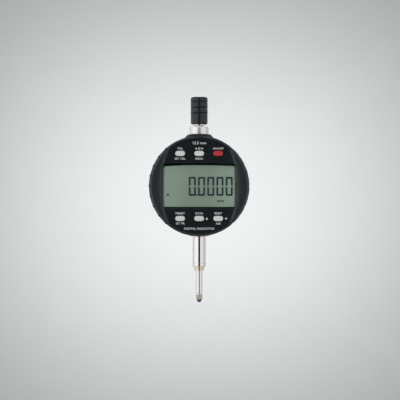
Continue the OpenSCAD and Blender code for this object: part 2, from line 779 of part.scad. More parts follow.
module contact_body() color([0.74, 0.75, 0.77]) at_body() {
    ball_r = ball_d / 2;
    difference() {
        rotate_extrude() polygon([[0, tip_top + tip_shank_h], [tip_shank_r, tip_top + tip_shank_h],
            [tip_shank_r, tip_top], [spindle_r - collar_in, tip_top],
            [spindle_r - collar_in, tip_top - collar_t],
            [spindle_r, tip_top - collar_t], [spindle_r, tip_top - knurl_end],
            [ball_r - 0.05, tip_end + ball_in], [0, tip_end + ball_in]]);
        translate([0, 0, tip_end + ball_r]) sphere(r = ball_r + 0.005);
        for (a = [0:knurl_step:360 - knurl_step]) rotate([0, 0, a])
            translate([spindle_r + knurl_r / 3, 0, tip_end])
            cylinder(r = knurl_r, h = tip_h - collar_t, $fn = 16);
    }
}

module contact_ball() color([0.12, 0.12, 0.13]) at_body()
    translate([0, 0, tip_end + ball_d / 2]) sphere(r = ball_d / 2);

module lifting_cap() color([0.05, 0.05, 0.06]) at_body() difference() {
    r = cap_d / 2;
    low = cap_low + flange_top;
    rotate_extrude() union() {
        polygon([[0, low], [r - cap_low_step, low], [r, low + cap_low_step], [r, cap_low + cap_h - cap_round],
            [r - cap_round, cap_low + cap_h], [0, cap_low + cap_h]]);
        translate([r - cap_round, cap_low + cap_h - cap_round]) circle(r = cap_round);
        for (z = cap_ribs) translate([r - 0.17, cap_low + z]) circle(r = 0.45, $fn = 32);
    }
    zbar(insert_r + seat_gap, cap_low, cap_low + insert_top + 0.4);
}

// threaded insert of the cap, with a domed flange under the cap
module cap_insert() color([0.8, 0.81, 0.82]) at_body() difference() {
    union() {
        intersection() {
            translate([0, 0, cap_low + insert_dome]) sphere(r = insert_dome, $fn = 180);
            zbar(cap_d / 2 - insert_edge, cap_low - cut, cap_low + flange_top);
        }
        zbar(insert_r, cap_low + flange_top - 0.2, cap_low + insert_top);
    }
    zbar(spindle_r + seat_gap, cap_low - cut, cap_low + 1);
    zbar(stud_r + seat_gap, cap_low - cut, cap_low + insert_top + cut);
}

module scale_carrier() color([0.55, 0.56, 0.6]) at_body() difference() {
    union() {
        block(-carrier_w / 2, carrier_w / 2, carrier_y, carrier_back, stop_t - bar_in, seat_z);
        block(rod_x - 2, -4, -arm_w / 2, arm_w / 2, seat_z - arm_low, seat_z - arm_top);
    }
    zbar(spindle_r + seat_gap, -bar_in, bar_in);
    zbar(rod_r + 0.05, -bar_in, bar_in, x = rod_x);
    translate([spindle_r, 0, set_screw_z]) rotate([0, 90, 0]) cylinder(r = pilot_r, h = carrier_w);
}

module scale_strip() color([0.82, 0.7, 0.35]) at_body()
    block(-strip_w / 2, strip_w / 2, carrier_back, carrier_back + strip_t, stop_t + 0.4 - bar_in, seat_z - 0.3);

module carrier_screw() color([0.3, 0.3, 0.32]) at_body()
    translate([spindle_r + 0.03, 0, set_screw_z]) rotate([0, 90, 0])
        cylinder(r = screw_r, h = carrier_w / 2 - spindle_r - 0.13);

// measuring-force spring: a coil of flat wire between the carrier and the upper bar
module return_spring() color([0.5, 0.5, 0.53]) at_body() {
    coil_h = bar_in - seat_z;
    r0 = spindle_r + spring_in;
    r1 = r0 + spring_t;
    a = 180 * 0.55 * spring_turns / coil_h;
    translate([0, 0, seat_z])
        linear_extrude(height = coil_h, twist = -360 * spring_turns, slices = 18 * spring_turns, $fn = 8)
        polygon(concat([for (k = [-2:2]) r1 * [cos(k * a / 2), sin(k * a / 2)]],
            [for (k = [2:-1:-2]) r0 * [cos(k * a / 2), sin(k * a / 2)]]));
}

front_bezel();
display_lens();
lcd_panel();
lcd_frame();
zebra_strips();
display_board();
board_screws();
microcontroller();
board_components();
keypad_mat_upper();
keypad_mat_lower();
flex_connector_front();
display_base();
base_screws();
swivel_retaining_ring();
swivel_washer();
flex_cable();
button_tolerance();
button_menu();
button_power();
button_preset();
button_data();
button_reset();
rear_housing();
back_cover();
back_cover_seal();
back_cover_screws();
battery_cover();
battery_cover_seal();
battery_holder();
coin_cell();
battery_contact_plus();
battery_contact_minus();
mounting_stem();
stem_lock_nut();
lower_guide_bush();
spindle_wiper();
upper_sleeve();
upper_guide_bush();
guide_frame();
frame_screws();
guide_rod();
stop_washer();
sensor_board();
sensor_chip();
sensor_board_screws();
flex_connector_rear();
data_connector();
data_port_cover();
spindle();
contact_body();
contact_ball();
lifting_cap();
cap_insert();
scale_carrier();
scale_strip();
carrier_screw();
return_spring();
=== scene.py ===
"""Looks of a digital dial indicator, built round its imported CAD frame.

Shapes are drawn in millimetres from the centre of the display unit, x to the right, y away from
the viewer and z up, and make() turns them into metres in the row frame.
"""
import math

import bmesh
import bpy
from mathutils import Matrix, Vector


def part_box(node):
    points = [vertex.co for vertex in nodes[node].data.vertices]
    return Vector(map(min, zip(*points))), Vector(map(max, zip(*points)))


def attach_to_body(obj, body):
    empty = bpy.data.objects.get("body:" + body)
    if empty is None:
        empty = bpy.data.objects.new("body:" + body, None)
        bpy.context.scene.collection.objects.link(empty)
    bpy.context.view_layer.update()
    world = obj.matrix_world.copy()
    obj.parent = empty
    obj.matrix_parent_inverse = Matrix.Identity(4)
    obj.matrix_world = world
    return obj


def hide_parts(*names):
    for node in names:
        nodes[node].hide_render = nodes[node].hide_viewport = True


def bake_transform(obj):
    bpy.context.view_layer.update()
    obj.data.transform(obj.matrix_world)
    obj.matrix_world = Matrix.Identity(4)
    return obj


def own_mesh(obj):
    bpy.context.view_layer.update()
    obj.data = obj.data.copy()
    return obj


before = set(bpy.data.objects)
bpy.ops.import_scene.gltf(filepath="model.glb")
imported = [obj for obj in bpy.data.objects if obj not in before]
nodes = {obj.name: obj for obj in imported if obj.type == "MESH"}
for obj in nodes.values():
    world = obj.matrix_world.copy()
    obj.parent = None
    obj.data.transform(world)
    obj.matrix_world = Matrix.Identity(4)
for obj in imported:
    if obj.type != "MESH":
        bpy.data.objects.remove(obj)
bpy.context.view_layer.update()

MM = 0.001
CENTRE = (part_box("display_base")[0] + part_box("display_base")[1]) / 2
TO_ROW = Matrix.Translation((0, 0, CENTRE.z)) @ Matrix.Scale(MM, 4)


def mm_box(node):
    """Lowest and highest corner of a CAD node, in millimetres from the display's centre."""
    return [(corner - Vector((0, 0, CENTRE.z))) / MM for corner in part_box(node)]


# -------------------- sizes, from the frame
BEZEL_LO, BEZEL_HI = mm_box("front_bezel")
BODY_R = BEZEL_HI.z
FACE_Y = BEZEL_LO.y
BAND_Y = FACE_Y + 0.5
LENS_Y, LENS_BACK = mm_box("display_lens")[0].y, mm_box("display_lens")[1].y
WALL_Y = FACE_Y + 2
SKIRT_END = mm_box("swivel_washer")[0].y
SKIRT_R = BODY_R - 1.8
RIM_R = BODY_R - 1.5
GLASS_LO, GLASS_HI = mm_box("lcd_panel")
WINDOW_W = GLASS_HI.x - GLASS_LO.x - 1.5
WINDOW_H = GLASS_HI.z - GLASS_LO.z - 0.7
WINDOW_Z = (GLASS_LO.z + GLASS_HI.z) / 2
SIDE_BOW, TOP_BOW, LOW_BOW = 113, 403, 800  # radii of the window's four sides
BAND_BOW, BAND_EDGE = 58, BODY_R - 6.6  # radius and reach of the band's sides
HOLE_BACK = WALL_Y + 0.5  # where cuts through the wall end
BOSS_AT, BOSS_ANGLE = BODY_R - 3.5, 48
HOUSE_LO, HOUSE_HI = mm_box("rear_housing")
HOUSE_R = BODY_R - 0.6
HOUSE_IN = HOUSE_R - 1.8
HUB_BORE_R = 7.08
COVER_LO, COVER_HI = mm_box("back_cover")
FIX_AT, FIX_ANGLE = BODY_R - 5, 35
HATCH_LO, HATCH_HI = mm_box("battery_cover")
HATCH_X = (HATCH_LO.x + HATCH_HI.x) / 2
HATCH_R = (HATCH_HI.x - HATCH_LO.x) / 2
THREAD_R = HATCH_R - 1.2
STEM_LO, STEM_HI = mm_box("mounting_stem")
BUSH_LO, BUSH_HI = mm_box("lower_guide_bush")
SLEEVE_LO, SLEEVE_HI = mm_box("upper_sleeve")
SPINDLE_LO, SPINDLE_HI = mm_box("spindle")
SPINDLE_R = SPINDLE_HI.x
BORE_R, BUSH_SEAT_R = 2.6, 3.02  # inside the stem and the sleeve
TIP_LO, TIP_HI = mm_box("contact_body")
BALL_LO, BALL_HI = mm_box("contact_ball")
CAP_LO, CAP_HI = mm_box("lifting_cap")
INSERT_LO, INSERT_HI = mm_box("cap_insert")
SPRING_LO, SPRING_HI = mm_box("return_spring")
BOARD_Y = mm_box("display_board")[0].y
FLANGE = 0.7  # round a key, behind the wall
KEYS = {
    "key_tolerance": "button_tolerance",
    "key_menu": "button_menu",
    "key_power": "button_power",
    "key_preset": "button_preset",
    "key_data": "button_data",
    "key_reset": "button_reset",
}


# -------------------- mesh helpers
def put(name, data):
    """A new object in the scene."""
    thing = bpy.data.objects.new(name, data)
    bpy.context.scene.collection.objects.link(thing)
    return thing


def make(name, bm, *finishes, sharp=32):
    """Turns a mesh in millimetres into a piece in the row frame, smooth up to the sharp angle."""
    bmesh.ops.remove_doubles(bm, verts=bm.verts, dist=1e-5)
    bmesh.ops.recalc_face_normals(bm, faces=bm.faces)
    bmesh.ops.transform(bm, matrix=TO_ROW, verts=bm.verts)
    mesh = bpy.data.meshes.new(name)
    bm.to_mesh(mesh)
    bm.free()
    for finish in finishes:
        mesh.materials.append(FINISH[finish])
    piece = put(name, mesh)
    smooth(piece, sharp)
    return piece


def smooth(piece, sharp=32):
    piece.data.shade_smooth()
    piece.data.set_sharp_from_angle(angle=math.radians(sharp))


def rounded(corners, steps=5):
    """An outline whose corners (u, v, radius) are rounded; a corner without a radius stays sharp."""
    points = []
    count = len(corners)
    for i, corner in enumerate(corners):
        here = Vector(corner[:2])
        if len(corner) < 3:
            points.append(here)
            continue
        before = Vector(corners[i - 1][:2]) - here
        after = Vector(corners[(i + 1) % count][:2]) - here
        half = before.angle(after) / 2
        reach = min(corner[2] / math.tan(half), 0.49 * before.length, 0.49 * after.length)
        radius = reach * math.tan(half)
        before, after = before.normalized(), after.normalized()
        middle = here + (before + after).normalized() * radius / math.sin(half)
        start = here + before * reach - middle
        end = here + after * reach - middle
        sweep = start.angle_signed(end)
        for k in range(steps + 1):
            points.append(middle + Matrix.Rotation(-sweep * k / steps, 2) @ start)
    return [tuple(p) for p in points]


def lathe(bm, outline, axis="Z", segments=96, at=(0, 0, 0), wave=None):
    """Turns a closed outline of (radius, height) about an axis; wave(turn, height) moves the radius."""
    rings = []
    for radius, height in outline:
        ring = []
        for i in range(1 if radius < 1e-6 else segments):
            turn = math.tau * i / segments
            r = radius + (wave(turn, height) if wave else 0)
            u, v = r * math.cos(turn), r * math.sin(turn)
            spot = (u, v, height) if axis == "Z" else (u, height, v)
            ring.append(bm.verts.new(Vector(spot) + Vector(at)))
        rings.append(ring)
    skin(bm, rings + rings[:1], capped=False)


def bridge(bm, first, second):
    """Faces between two closed rings; a ring of one vertex is a point on the axis."""
    if len(first) == 1 and len(second) == 1:
        return
    count = max(len(first), len(second))
    for i in range(count):
        j = (i + 1) % count
        near = first[i % len(first)], first[j % len(first)]
        far = second[j % len(second)], second[i % len(second)]
        corners = list(dict.fromkeys(near + far))
        if len(corners) > 2:
            bm.faces.new(corners)


def skin(bm, rings, capped=True):
    """Faces from ring to ring, and over the first and the last one where capped."""
    for first, second in zip(rings, rings[1:]):
        bridge(bm, first, second)
    if capped:
        bm.faces.new(rings[0])
        bm.faces.new(rings[-1])


def loft(bm, rings, at=(0, 0)):
    """A closed solid through rings, each a list of (x, z) points and the y where it lies."""
    skin(bm, [[bm.verts.new((x + at[0], y, z + at[1])) for x, z in ring] for ring, y in rings])


def bar(bm, radius, low, high, x=0.0, z=0.0, segments=32, axis="Y"):
    """A cylinder from low to high along the axis."""
    lathe(bm, [(0, low), (radius, low), (radius, high), (0, high)], axis, segments, (x, 0, z))


def block(bm, low, high):
    made = bmesh.ops.create_cube(bm, size=1)["verts"]
    low, high = Vector(low), Vector(high)
    size = Matrix.Diagonal((*(high - low), 1))
    bmesh.ops.transform(bm, matrix=Matrix.Translation((low + high) / 2) @ size, verts=made)


def pill(width, height, steps=10):
    """A slot outline with round ends."""
    r = height / 2
    points = []
    for side in (1, -1):
        for i in range(steps + 1):
            turn = math.pi * (i / steps - 0.5)
            points.append((side * ((width - height) / 2 + r * math.cos(turn)), side * r * math.sin(turn)))
    return points


def meet(middle_a, radius_a, middle_b, radius_b, near):
    """Where two circles cross, on the side of the point near."""
    gap = Vector(middle_b) - Vector(middle_a)
    along = (radius_a**2 - radius_b**2 + gap.length_squared) / (2 * gap.length)
    across = math.sqrt(radius_a**2 - along**2)
    foot = Vector(middle_a) + gap.normalized() * along
    side = Vector((-gap.y, gap.x)).normalized() * across
    return min((foot + side, foot - side), key=lambda p: (p - Vector(near)).length)


def window(margin, steps=14, corner=0.5):
    """The window's outline with bowed sides, moved out by a margin."""
    circles = [
        ((WINDOW_W / 2 - SIDE_BOW, 0), SIDE_BOW + margin),
        ((0, WINDOW_Z + WINDOW_H / 2 - TOP_BOW), TOP_BOW + margin),
        ((SIDE_BOW - WINDOW_W / 2, 0), SIDE_BOW + margin),
        ((0, WINDOW_Z - WINDOW_H / 2 + LOW_BOW), LOW_BOW + margin),
    ]
    near = [(sx * WINDOW_W / 2, sz * WINDOW_H / 2) for sx, sz in ((1, 1), (-1, 1), (-1, -1), (1, -1))]
    corners = [meet(*circles[i], *circles[(i + 1) % 4], near[i]) for i in range(4)]
    points = []
    for i, (middle, radius) in enumerate(circles):
        start, end = corners[i - 1] - Vector(middle), corners[i] - Vector(middle)
        sweep = start.angle_signed(end)
        trim = corner / radius / abs(sweep)
        for k in range(steps + 1):
            share = trim + (1 - 2 * trim) * k / steps
            points.append(tuple(Vector(middle) + Matrix.Rotation(-sweep * share, 2) @ start))
    return points


def as_mesh(piece):
    """A new mesh of a piece as its modifiers or its text make it."""
    bpy.context.view_layer.update()
    return bpy.data.meshes.new_from_object(piece.evaluated_get(bpy.context.evaluated_depsgraph_get()))


def shape(piece, other, operation="DIFFERENCE"):
    """Applies one boolean step to a piece and removes the other body."""
    modifier = piece.modifiers.new(operation, "BOOLEAN")
    modifier.object = other
    modifier.operation = operation
    modifier.solver = "EXACT"
    result = as_mesh(piece)
    piece.modifiers.clear()
    old = piece.data
    piece.data = result
    result.name = piece.name
    bpy.data.meshes.remove(old)
    bpy.data.objects.remove(other)


def tool(build, *args):
    """A cutting or joining body from a function that draws into a mesh."""
    bm = bmesh.new()
    build(bm, *args)
    return make("tool", bm)


def four_places(at, angle):
    """The four corners at this distance from the centre and this angle above the middle."""
    x, z = at * math.cos(math.radians(angle)), at * math.sin(math.radians(angle))
    return [(sx * x, sz * z) for sx in (-1, 1) for sz in (-1, 1)]


def attach(piece, body, slot, *cad_nodes):
    """A finished piece rides on its body and stands for the CAD nodes named."""
    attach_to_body(piece, body)
    if cad_nodes:
        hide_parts(*cad_nodes)


# -------------------- materials
FINISH = {}  # material by name, filled by Nodes


class Nodes:
    """A new finish and its nodes, with short calls for what the surfaces here share."""

    def __init__(self, name):
        self.material = FINISH[name] = bpy.data.materials.new(name)
        self.material.use_nodes = True
        self.tree = self.material.node_tree
        self.shader = self.tree.nodes["Principled BSDF"]
        self.where = self.add("ShaderNodeTexCoord").outputs["Object"]

    def add(self, kind, values=None, **settings):
        """A node with these settings and with these values in its sockets."""
        node = self.tree.nodes.new(kind)
        for key, value in settings.items():
            setattr(node, key, value)
        for key, value in (values or {}).items():
            node.inputs[key].default_value = value
        return node

    def link(self, source, target):
        self.tree.links.new(source, target)

    def feed(self, socket, source):
        """Links a source to a socket of the shader."""
        self.link(source, self.shader.inputs[socket])

    def set(self, **values):
        """Sets sockets of the shader; an underscore in a name stands for a space."""
        for key, value in values.items():
            self.shader.inputs[key.replace("_", " ")].default_value = value

    def stretched(self, scale):
        mapping = self.add("ShaderNodeMapping", {"Scale": scale})
        self.link(self.where, mapping.inputs["Vector"])
        return mapping.outputs["Vector"]

    def noise(self, size, detail=3.0, scale=(1, 1, 1), rough=0.5):
        """Noise with features of this size in millimetres."""
        values = {"Scale": 1 / (size * MM), "Detail": detail, "Roughness": rough}
        node = self.add("ShaderNodeTexNoise", values)
        self.link(self.stretched(scale), node.inputs["Vector"])
        return node.outputs["Fac"]

    def span(self, source, low, high, start=0.3, end=0.7):
        """Maps start and end of a source to low and high."""
        values = {"From Min": start, "From Max": end, "To Min": low, "To Max": high}
        node = self.add("ShaderNodeMapRange", values)
        self.link(source, node.inputs["Value"])
        return node.outputs["Result"]

    def blend(self, factor, first, second):
        """Colour between two colours or sockets."""
        node = self.add("ShaderNodeMix", data_type="RGBA")
        self.link(factor, node.inputs["Factor"])
        for key, value in (("A", first), ("B", second)):
            socket = next(s for s in node.inputs if s.name == key and s.type == "RGBA")
            if isinstance(value, bpy.types.NodeSocket):
                self.link(value, socket)
            else:
                socket.default_value = (*value, 1)
        return next(s for s in node.outputs if s.type == "RGBA")

    def bump(self, height, depth):
        """Relief of this depth in millimetres from a height between 0 and 1."""
        node = self.add("ShaderNodeBump", {"Strength": 1, "Distance": depth * MM})
        self.link(height, node.inputs["Height"])
        self.feed("Normal", node.outputs["Normal"])


def tint(colour, share):
    return tuple(min(1.0, c * share) for c in colour)


def moulded(name, colour, rough, grain=0.22, depth=0.012, vary=0.12, specular=0.5):
    """Moulded plastic or rubber: a fine grain, slightly uneven gloss and colour."""
    n = Nodes(name)
    n.set(Specular_IOR_Level=specular, Specular_Tint=(0.88, 1.0, 1.04, 1))
    patches = n.noise(9, 2)
    n.feed("Base Color", n.blend(patches, tint(colour, 1 - vary), tint(colour, 1 + vary)))
    fine = n.noise(grain, 2)
    n.feed("Roughness", n.span(fine, rough - 0.06, rough + 0.06))
    n.bump(fine, depth)


def turned(name, colour, rough, line=0.05, depth=0.0006, axis="Z", spread=0.05):
    """Metal turned or ground on a lathe: fine lines round its axis and faint handling marks."""
    n = Nodes(name)
    n.set(Metallic=1.0)
    lengthwise = (0.01, 0.01, 1) if axis == "Z" else (0.01, 1, 0.01)
    lines = n.noise(line, 4, lengthwise, 0.6)
    marks = n.noise(1.4, 3)
    n.feed("Base Color", n.blend(marks, tint(colour, 0.96), tint(colour, 1.03)))
    n.feed("Roughness", n.span(lines, rough - spread, rough + spread))
    n.bump(lines, depth)


def plated(name, colour, rough, grain=0.3, depth=0.002, vary=0.06):
    """Sheet, cast or plated metal with an even, slightly mottled finish."""
    n = Nodes(name)
    n.set(Metallic=1.0)
    mottle = n.noise(grain, 4)
    n.feed("Base Color", n.blend(mottle, tint(colour, 1 - vary), tint(colour, 1 + vary)))
    n.feed("Roughness", n.span(mottle, rough - 0.05, rough + 0.08))
    n.bump(mottle, depth)


def clear_window(name):
    """Clear acrylic that lets lamp light through to the display behind it."""
    n = Nodes(name)
    n.set(Base_Color=(0.96, 1.0, 0.985, 1), Roughness=0.04, IOR=1.45, Transmission_Weight=1.0)
    haze = n.noise(6, 3)
    n.feed("Roughness", n.span(haze, 0.02, 0.06))
    output = n.tree.nodes["Material Output"]
    path = n.add("ShaderNodeLightPath")
    through = n.add("ShaderNodeBsdfTransparent")
    mix = n.add("ShaderNodeMixShader")
    n.link(path.outputs["Is Shadow Ray"], mix.inputs[0])
    n.link(n.shader.outputs[0], mix.inputs[1])
    n.link(through.outputs[0], mix.inputs[2])
    n.link(mix.outputs[0], output.inputs["Surface"])


def liquid_crystal(name, colour):
    """Reflective display, with a painted reflection that makes it lighter to the left and right, and painted
    shade as a dark edge on both sides where the window's side walls fall.
    """
    n = Nodes(name)
    n.set(Specular_IOR_Level=0.35)
    parts = n.add("ShaderNodeSeparateXYZ")
    n.link(n.where, parts.inputs[0])
    aside = n.add("ShaderNodeMath", operation="ABSOLUTE")
    n.link(parts.outputs["X"], aside.inputs[0])
    # shares of the colour for the painted reflection at the ends and the painted shade at the side edges
    half, reflection_gain, wall_shade_share = WINDOW_W / 2 * MM, 1.32, 0.42
    # painted reflection: the colour rises towards the left and the right end
    left = n.span(parts.outputs["X"], 1, 0, -half, -0.35 * half)
    right = n.span(parts.outputs["X"], 0, 1, 0.3 * half, half)
    # painted shade: a dark strip along both side edges, under the window's side walls
    wall_shade = n.span(aside.outputs[0], 0, 1, half - 1.5 * MM, half - 0.5 * MM)
    fine = n.noise(0.12, 2)
    shade = n.blend(left, colour, tint(colour, reflection_gain))
    shade = n.blend(right, shade, tint(colour, reflection_gain))
    shade = n.blend(wall_shade, shade, tint(colour, wall_shade_share))
    n.feed("Base Color", n.blend(n.span(fine, 0, 0.1), shade, tint(colour, 1.3)))
    n.feed("Roughness", n.span(fine, 0.34, 0.46))
    n.bump(fine, 0.002)


def circuit(name, colour, copper):
    """Circuit board: solder mask over rows of traces, with plated spots."""
    n = Nodes(name)
    n.set(Coat_Weight=0.4, Coat_Roughness=0.15)
    bend = n.noise(7, 1)
    values = {"Scale": 260, "Distortion": 6, "Detail Scale": 40}
    wave = n.add("ShaderNodeTexWave", values, wave_type="BANDS", bands_direction="DIAGONAL")
    n.link(n.where, wave.inputs["Vector"])
    traces = n.span(wave.outputs["Fac"], 0, 1, 0.62, 0.7)
    spots = n.add("ShaderNodeTexVoronoi", {"Scale": 420})
    n.link(n.where, spots.inputs["Vector"])
    pads = n.span(spots.outputs["Distance"], 1, 0, 0.16, 0.2)
    mask = n.blend(traces, colour, tint(colour, 1.7))
    n.feed("Base Color", n.blend(pads, mask, copper))
    n.feed("Roughness", n.span(bend, 0.32, 0.42))
    n.bump(traces, 0.03)


def film(name, colour, rough):
    """Thin polyimide film with copper runs faintly showing."""
    n = Nodes(name)
    stripes = n.noise(0.5, 1, (0.05, 0.05, 1))
    n.feed("Base Color", n.blend(n.span(stripes, 0, 1), tint(colour, 0.88), tint(colour, 1.1)))
    n.feed("Roughness", n.span(n.noise(0.3, 2), rough - 0.05, rough + 0.05))
    n.bump(stripes, 0.003)


BLACK = (0.0105, 0.0135, 0.0150)
STEEL = (0.78, 0.765, 0.75)
moulded("black_moulding", tint(BLACK, 1.3), 0.38, 0.26, 0.008)
moulded("panel_black", tint(BLACK, 1.0), 0.30, 0.16, 0.004, specular=0.25)
moulded("housing_black", tint(BLACK, 0.9), 0.52, 0.3, 0.016)
moulded("cap_black", tint(BLACK, 0.8), 0.3, 0.5, 0.006, specular=0.5)
moulded("dark_plastic", (0.012, 0.013, 0.014), 0.42, 0.25, 0.008)
moulded("seal_black", (0.010, 0.010, 0.010), 0.6, 0.2, 0.006)
moulded("silicone_grey", (0.32, 0.31, 0.29), 0.5, 0.3, 0.004)
moulded("elastomer_pink", (0.32, 0.13, 0.15), 0.55, 0.2, 0.004)
moulded("key_grey", (0.78, 0.77, 0.765), 0.38, 0.18, 0.003, 0.03)
moulded("key_red", (0.54, 0.042, 0.052), 0.36, 0.18, 0.003, 0.05)
moulded("chip_black", (0.011, 0.011, 0.012), 0.45, 0.12, 0.006)
moulded("component_tan", (0.42, 0.28, 0.16), 0.4, 0.2, 0.003)
moulded("connector_ivory", (0.62, 0.56, 0.43), 0.4, 0.3, 0.003)
moulded("white_print", (0.88, 0.88, 0.87), 0.5, 0.08, 0.001, 0.03)
# black of the sheet that paints shadow and shade inside the window
moulded("window_shadow_black", (0.004, 0.0045, 0.0045), 0.5, 0.2, 0.002, specular=0.1)
moulded("lcd_ink", (0.011, 0.022, 0.034), 0.4, 0.1, 0.001, 0.05)
turned("polished_steel", STEEL, 0.08, spread=0.03)
turned("satin_steel", tint(STEEL, 1.1), 0.38, 0.06, 0.0012)
turned("spindle_steel", STEEL, 0.08, 0.035, spread=0.03)
turned("brass", (0.74, 0.66, 0.50), 0.2, 0.05)
turned("tip_steel", (0.52, 0.48, 0.42), 0.34, 0.04, 0.001)
plated("carbide", (0.028, 0.028, 0.026), 0.14, 0.05, 0.0004)
turned("screw_steel", (0.56, 0.56, 0.57), 0.28, 0.05, 0.001, "Y")
plated("frame_alloy", (0.62, 0.63, 0.65), 0.36)
plated("spring_steel", (0.50, 0.49, 0.48), 0.25, 0.2)
plated("contact_spring", (0.72, 0.62, 0.42), 0.22, 0.2)
plated("cell_steel", (0.66, 0.66, 0.67), 0.24, 0.25)
plated("scale_gold", (0.78, 0.58, 0.26), 0.2, 0.2)
clear_window("window")
liquid_crystal("lcd_glass", (0.262, 0.322, 0.262))
circuit("circuit_board", (0.010, 0.085, 0.038), (0.55, 0.42, 0.18))
film("polyimide", (0.42, 0.16, 0.035), 0.32)


# -------------------- display unit
def bezel():
    """Round case with a recessed band for keys and window, rounded all along its edges."""
    bm = bmesh.new()
    lathe(bm, rounded([
        (0, FACE_Y), (RIM_R - 0.15, FACE_Y, 0.5), (RIM_R + 0.45, FACE_Y + 0.55, 0.5),
        (BODY_R, FACE_Y + 2.4, 0.8), (BODY_R, SKIRT_END, 0.35),
        (SKIRT_R, SKIRT_END, 0.2), (SKIRT_R, WALL_Y, 0.4), (0, WALL_Y),
    ]), "Y", 180)
    case = make("front_bezel_shell", bm, "black_moulding", "panel_black")
    shape(case, tool(grip_ribs), "UNION")
    shape(case, tool(grip_grooves))
    shape(case, tool(band_tool))
    shape(case, tool(window_tool))
    shape(case, tool(lens_pocket))
    for node in KEYS.values():
        shape(case, tool(key_hole, node))
    shape(case, tool(bosses), "UNION")
    shape(case, tool(boss_bores))
    smooth(case, 34)
    for polygon in case.data.polygons:
        middle = (polygon.center - Vector((0, 0, CENTRE.z))) / MM
        printed = abs(middle.y - BAND_Y) < 0.02 and polygon.normal.y < -0.9
        polygon.material_index = 1 if printed else 0
    attach(case, "display", "black_moulding", "front_bezel")


def round_the_rim(bm, radius, distance, front, back, side):
    """Nine rods of the grip, on the left where side is -1 and on the right where it is 1."""
    rod = rounded([(0, front), (radius, front, radius * 0.8), (radius, back), (0, back)])
    for step in range(-4, 5):
        turn = math.radians(12 * step)
        lathe(bm, rod, "Y", 24, (side * distance * math.cos(turn), 0, side * distance * math.sin(turn)))


def grip_ribs(bm):
    round_the_rim(bm, 0.6, BODY_R - 0.3, FACE_Y + 1, SKIRT_END - 0.3, -1)


def grip_grooves(bm):
    round_the_rim(bm, 0.5, BODY_R + 0.2, FACE_Y + 1, SKIRT_END + 1, 1)


def band(margin, steps=40):
    """The band between the two raised sides, its corners on the rim, moved out by a margin."""
    bow, edge, rim = BAND_BOW + margin, BAND_EDGE - BAND_BOW, RIM_R - 0.05
    crossing = meet((0, 0), rim, (edge, 0), bow, (10, rim))
    points = []
    for side in (1, -1):
        low = math.atan2(-crossing.y, crossing.x - edge)
        for k in range(steps + 1):
            turn = low * (1 - 2 * k / steps)
            points.append((side * (edge + bow * math.cos(turn)), side * bow * math.sin(turn)))
        start, end = math.atan2(crossing.y, crossing.x), math.atan2(crossing.y, -crossing.x)
        for k in range(1, steps):
            turn = start + (end - start) * k / steps
            points.append((side * rim * math.cos(turn), side * rim * math.sin(turn)))
    return points


def band_tool(bm):
    """Cuts the band with sloped side walls, a little rounded at their foot and edge."""
    clear = 2 * FACE_Y - BAND_Y
    loft(bm, [(band(-1.35), BAND_Y), (band(-1.2), BAND_Y - 0.04), (band(-0.2), FACE_Y + 0.07),
              (band(0.05), FACE_Y - 0.02), (band(0.1), clear)])


def window_tool(bm):
    loft(bm, [(window(0), HOLE_BACK), (window(0), BAND_Y + 0.35), (window(0.07), BAND_Y + 0.14),
              (window(0.22), BAND_Y + 0.02), (window(0.3), BAND_Y - 0.6)])


def lens_pocket(bm):
    loft(bm, [(window(1.15), LENS_Y), (window(1.15), HOLE_BACK)])


def key_middle(node):
    low, high = mm_box(node)
    return (low.x + high.x) / 2, (low.z + high.z) / 2


def key_size(node):
    """Width and height of a key where it passes the wall, from its flange's box."""
    low, high = mm_box(node)
    return high.x - low.x - 2 * FLANGE, high.z - low.z - 2 * FLANGE


def key_hole(bm, node):
    w, h = key_size(node)
    rings = [(0.15, HOLE_BACK), (0.15, BAND_Y + 0.2), (0.2, BAND_Y + 0.07), (0.32, BAND_Y - 0.5)]
    loft(bm, [(pill(w + 2 * gap, h + 2 * gap), y) for gap, y in rings], key_middle(node))


def bosses(bm):
    for x, z in four_places(BOSS_AT, BOSS_ANGLE):
        bar(bm, 2.2, WALL_Y - 0.2, mm_box("display_base")[0].y, x, z)


def boss_bores(bm):
    for x, z in four_places(BOSS_AT, BOSS_ANGLE):
        bar(bm, 0.8, BAND_Y + 4.4, SKIRT_END, x, z, 24)


def key(body, node, finish):
    """A key with a rounded edge, a slightly dished top and its flange behind the wall."""
    w, h = key_size(node)
    front, back = mm_box(node)[0].y, mm_box(node)[1].y
    edge = 0.55
    rings = [(FLANGE, back), (FLANGE, WALL_Y + 0.08), (FLANGE - 0.08, WALL_Y + 0.02), (0, WALL_Y + 0.02)]
    rings += [(-edge * (1 - math.cos(t)), front + edge * (1 - math.sin(t)))
              for t in [math.pi / 2 * k / 6 for k in range(7)]]
    dish = [(0.15, 0.004), (0.4, 0.03), (0.65, 0.055), (0.9, 0.07)]
    rings += [(-edge - (h / 2 - edge) * share, front + depth) for share, depth in dish]
    bm = bmesh.new()
    loft(bm, [(pill(w + 2 * out, max(h + 2 * out, 0.02)), y) for out, y in rings], key_middle(node))
    attach(make(node + "_cap", bm, finish, sharp=40), body, "key_grey", node)


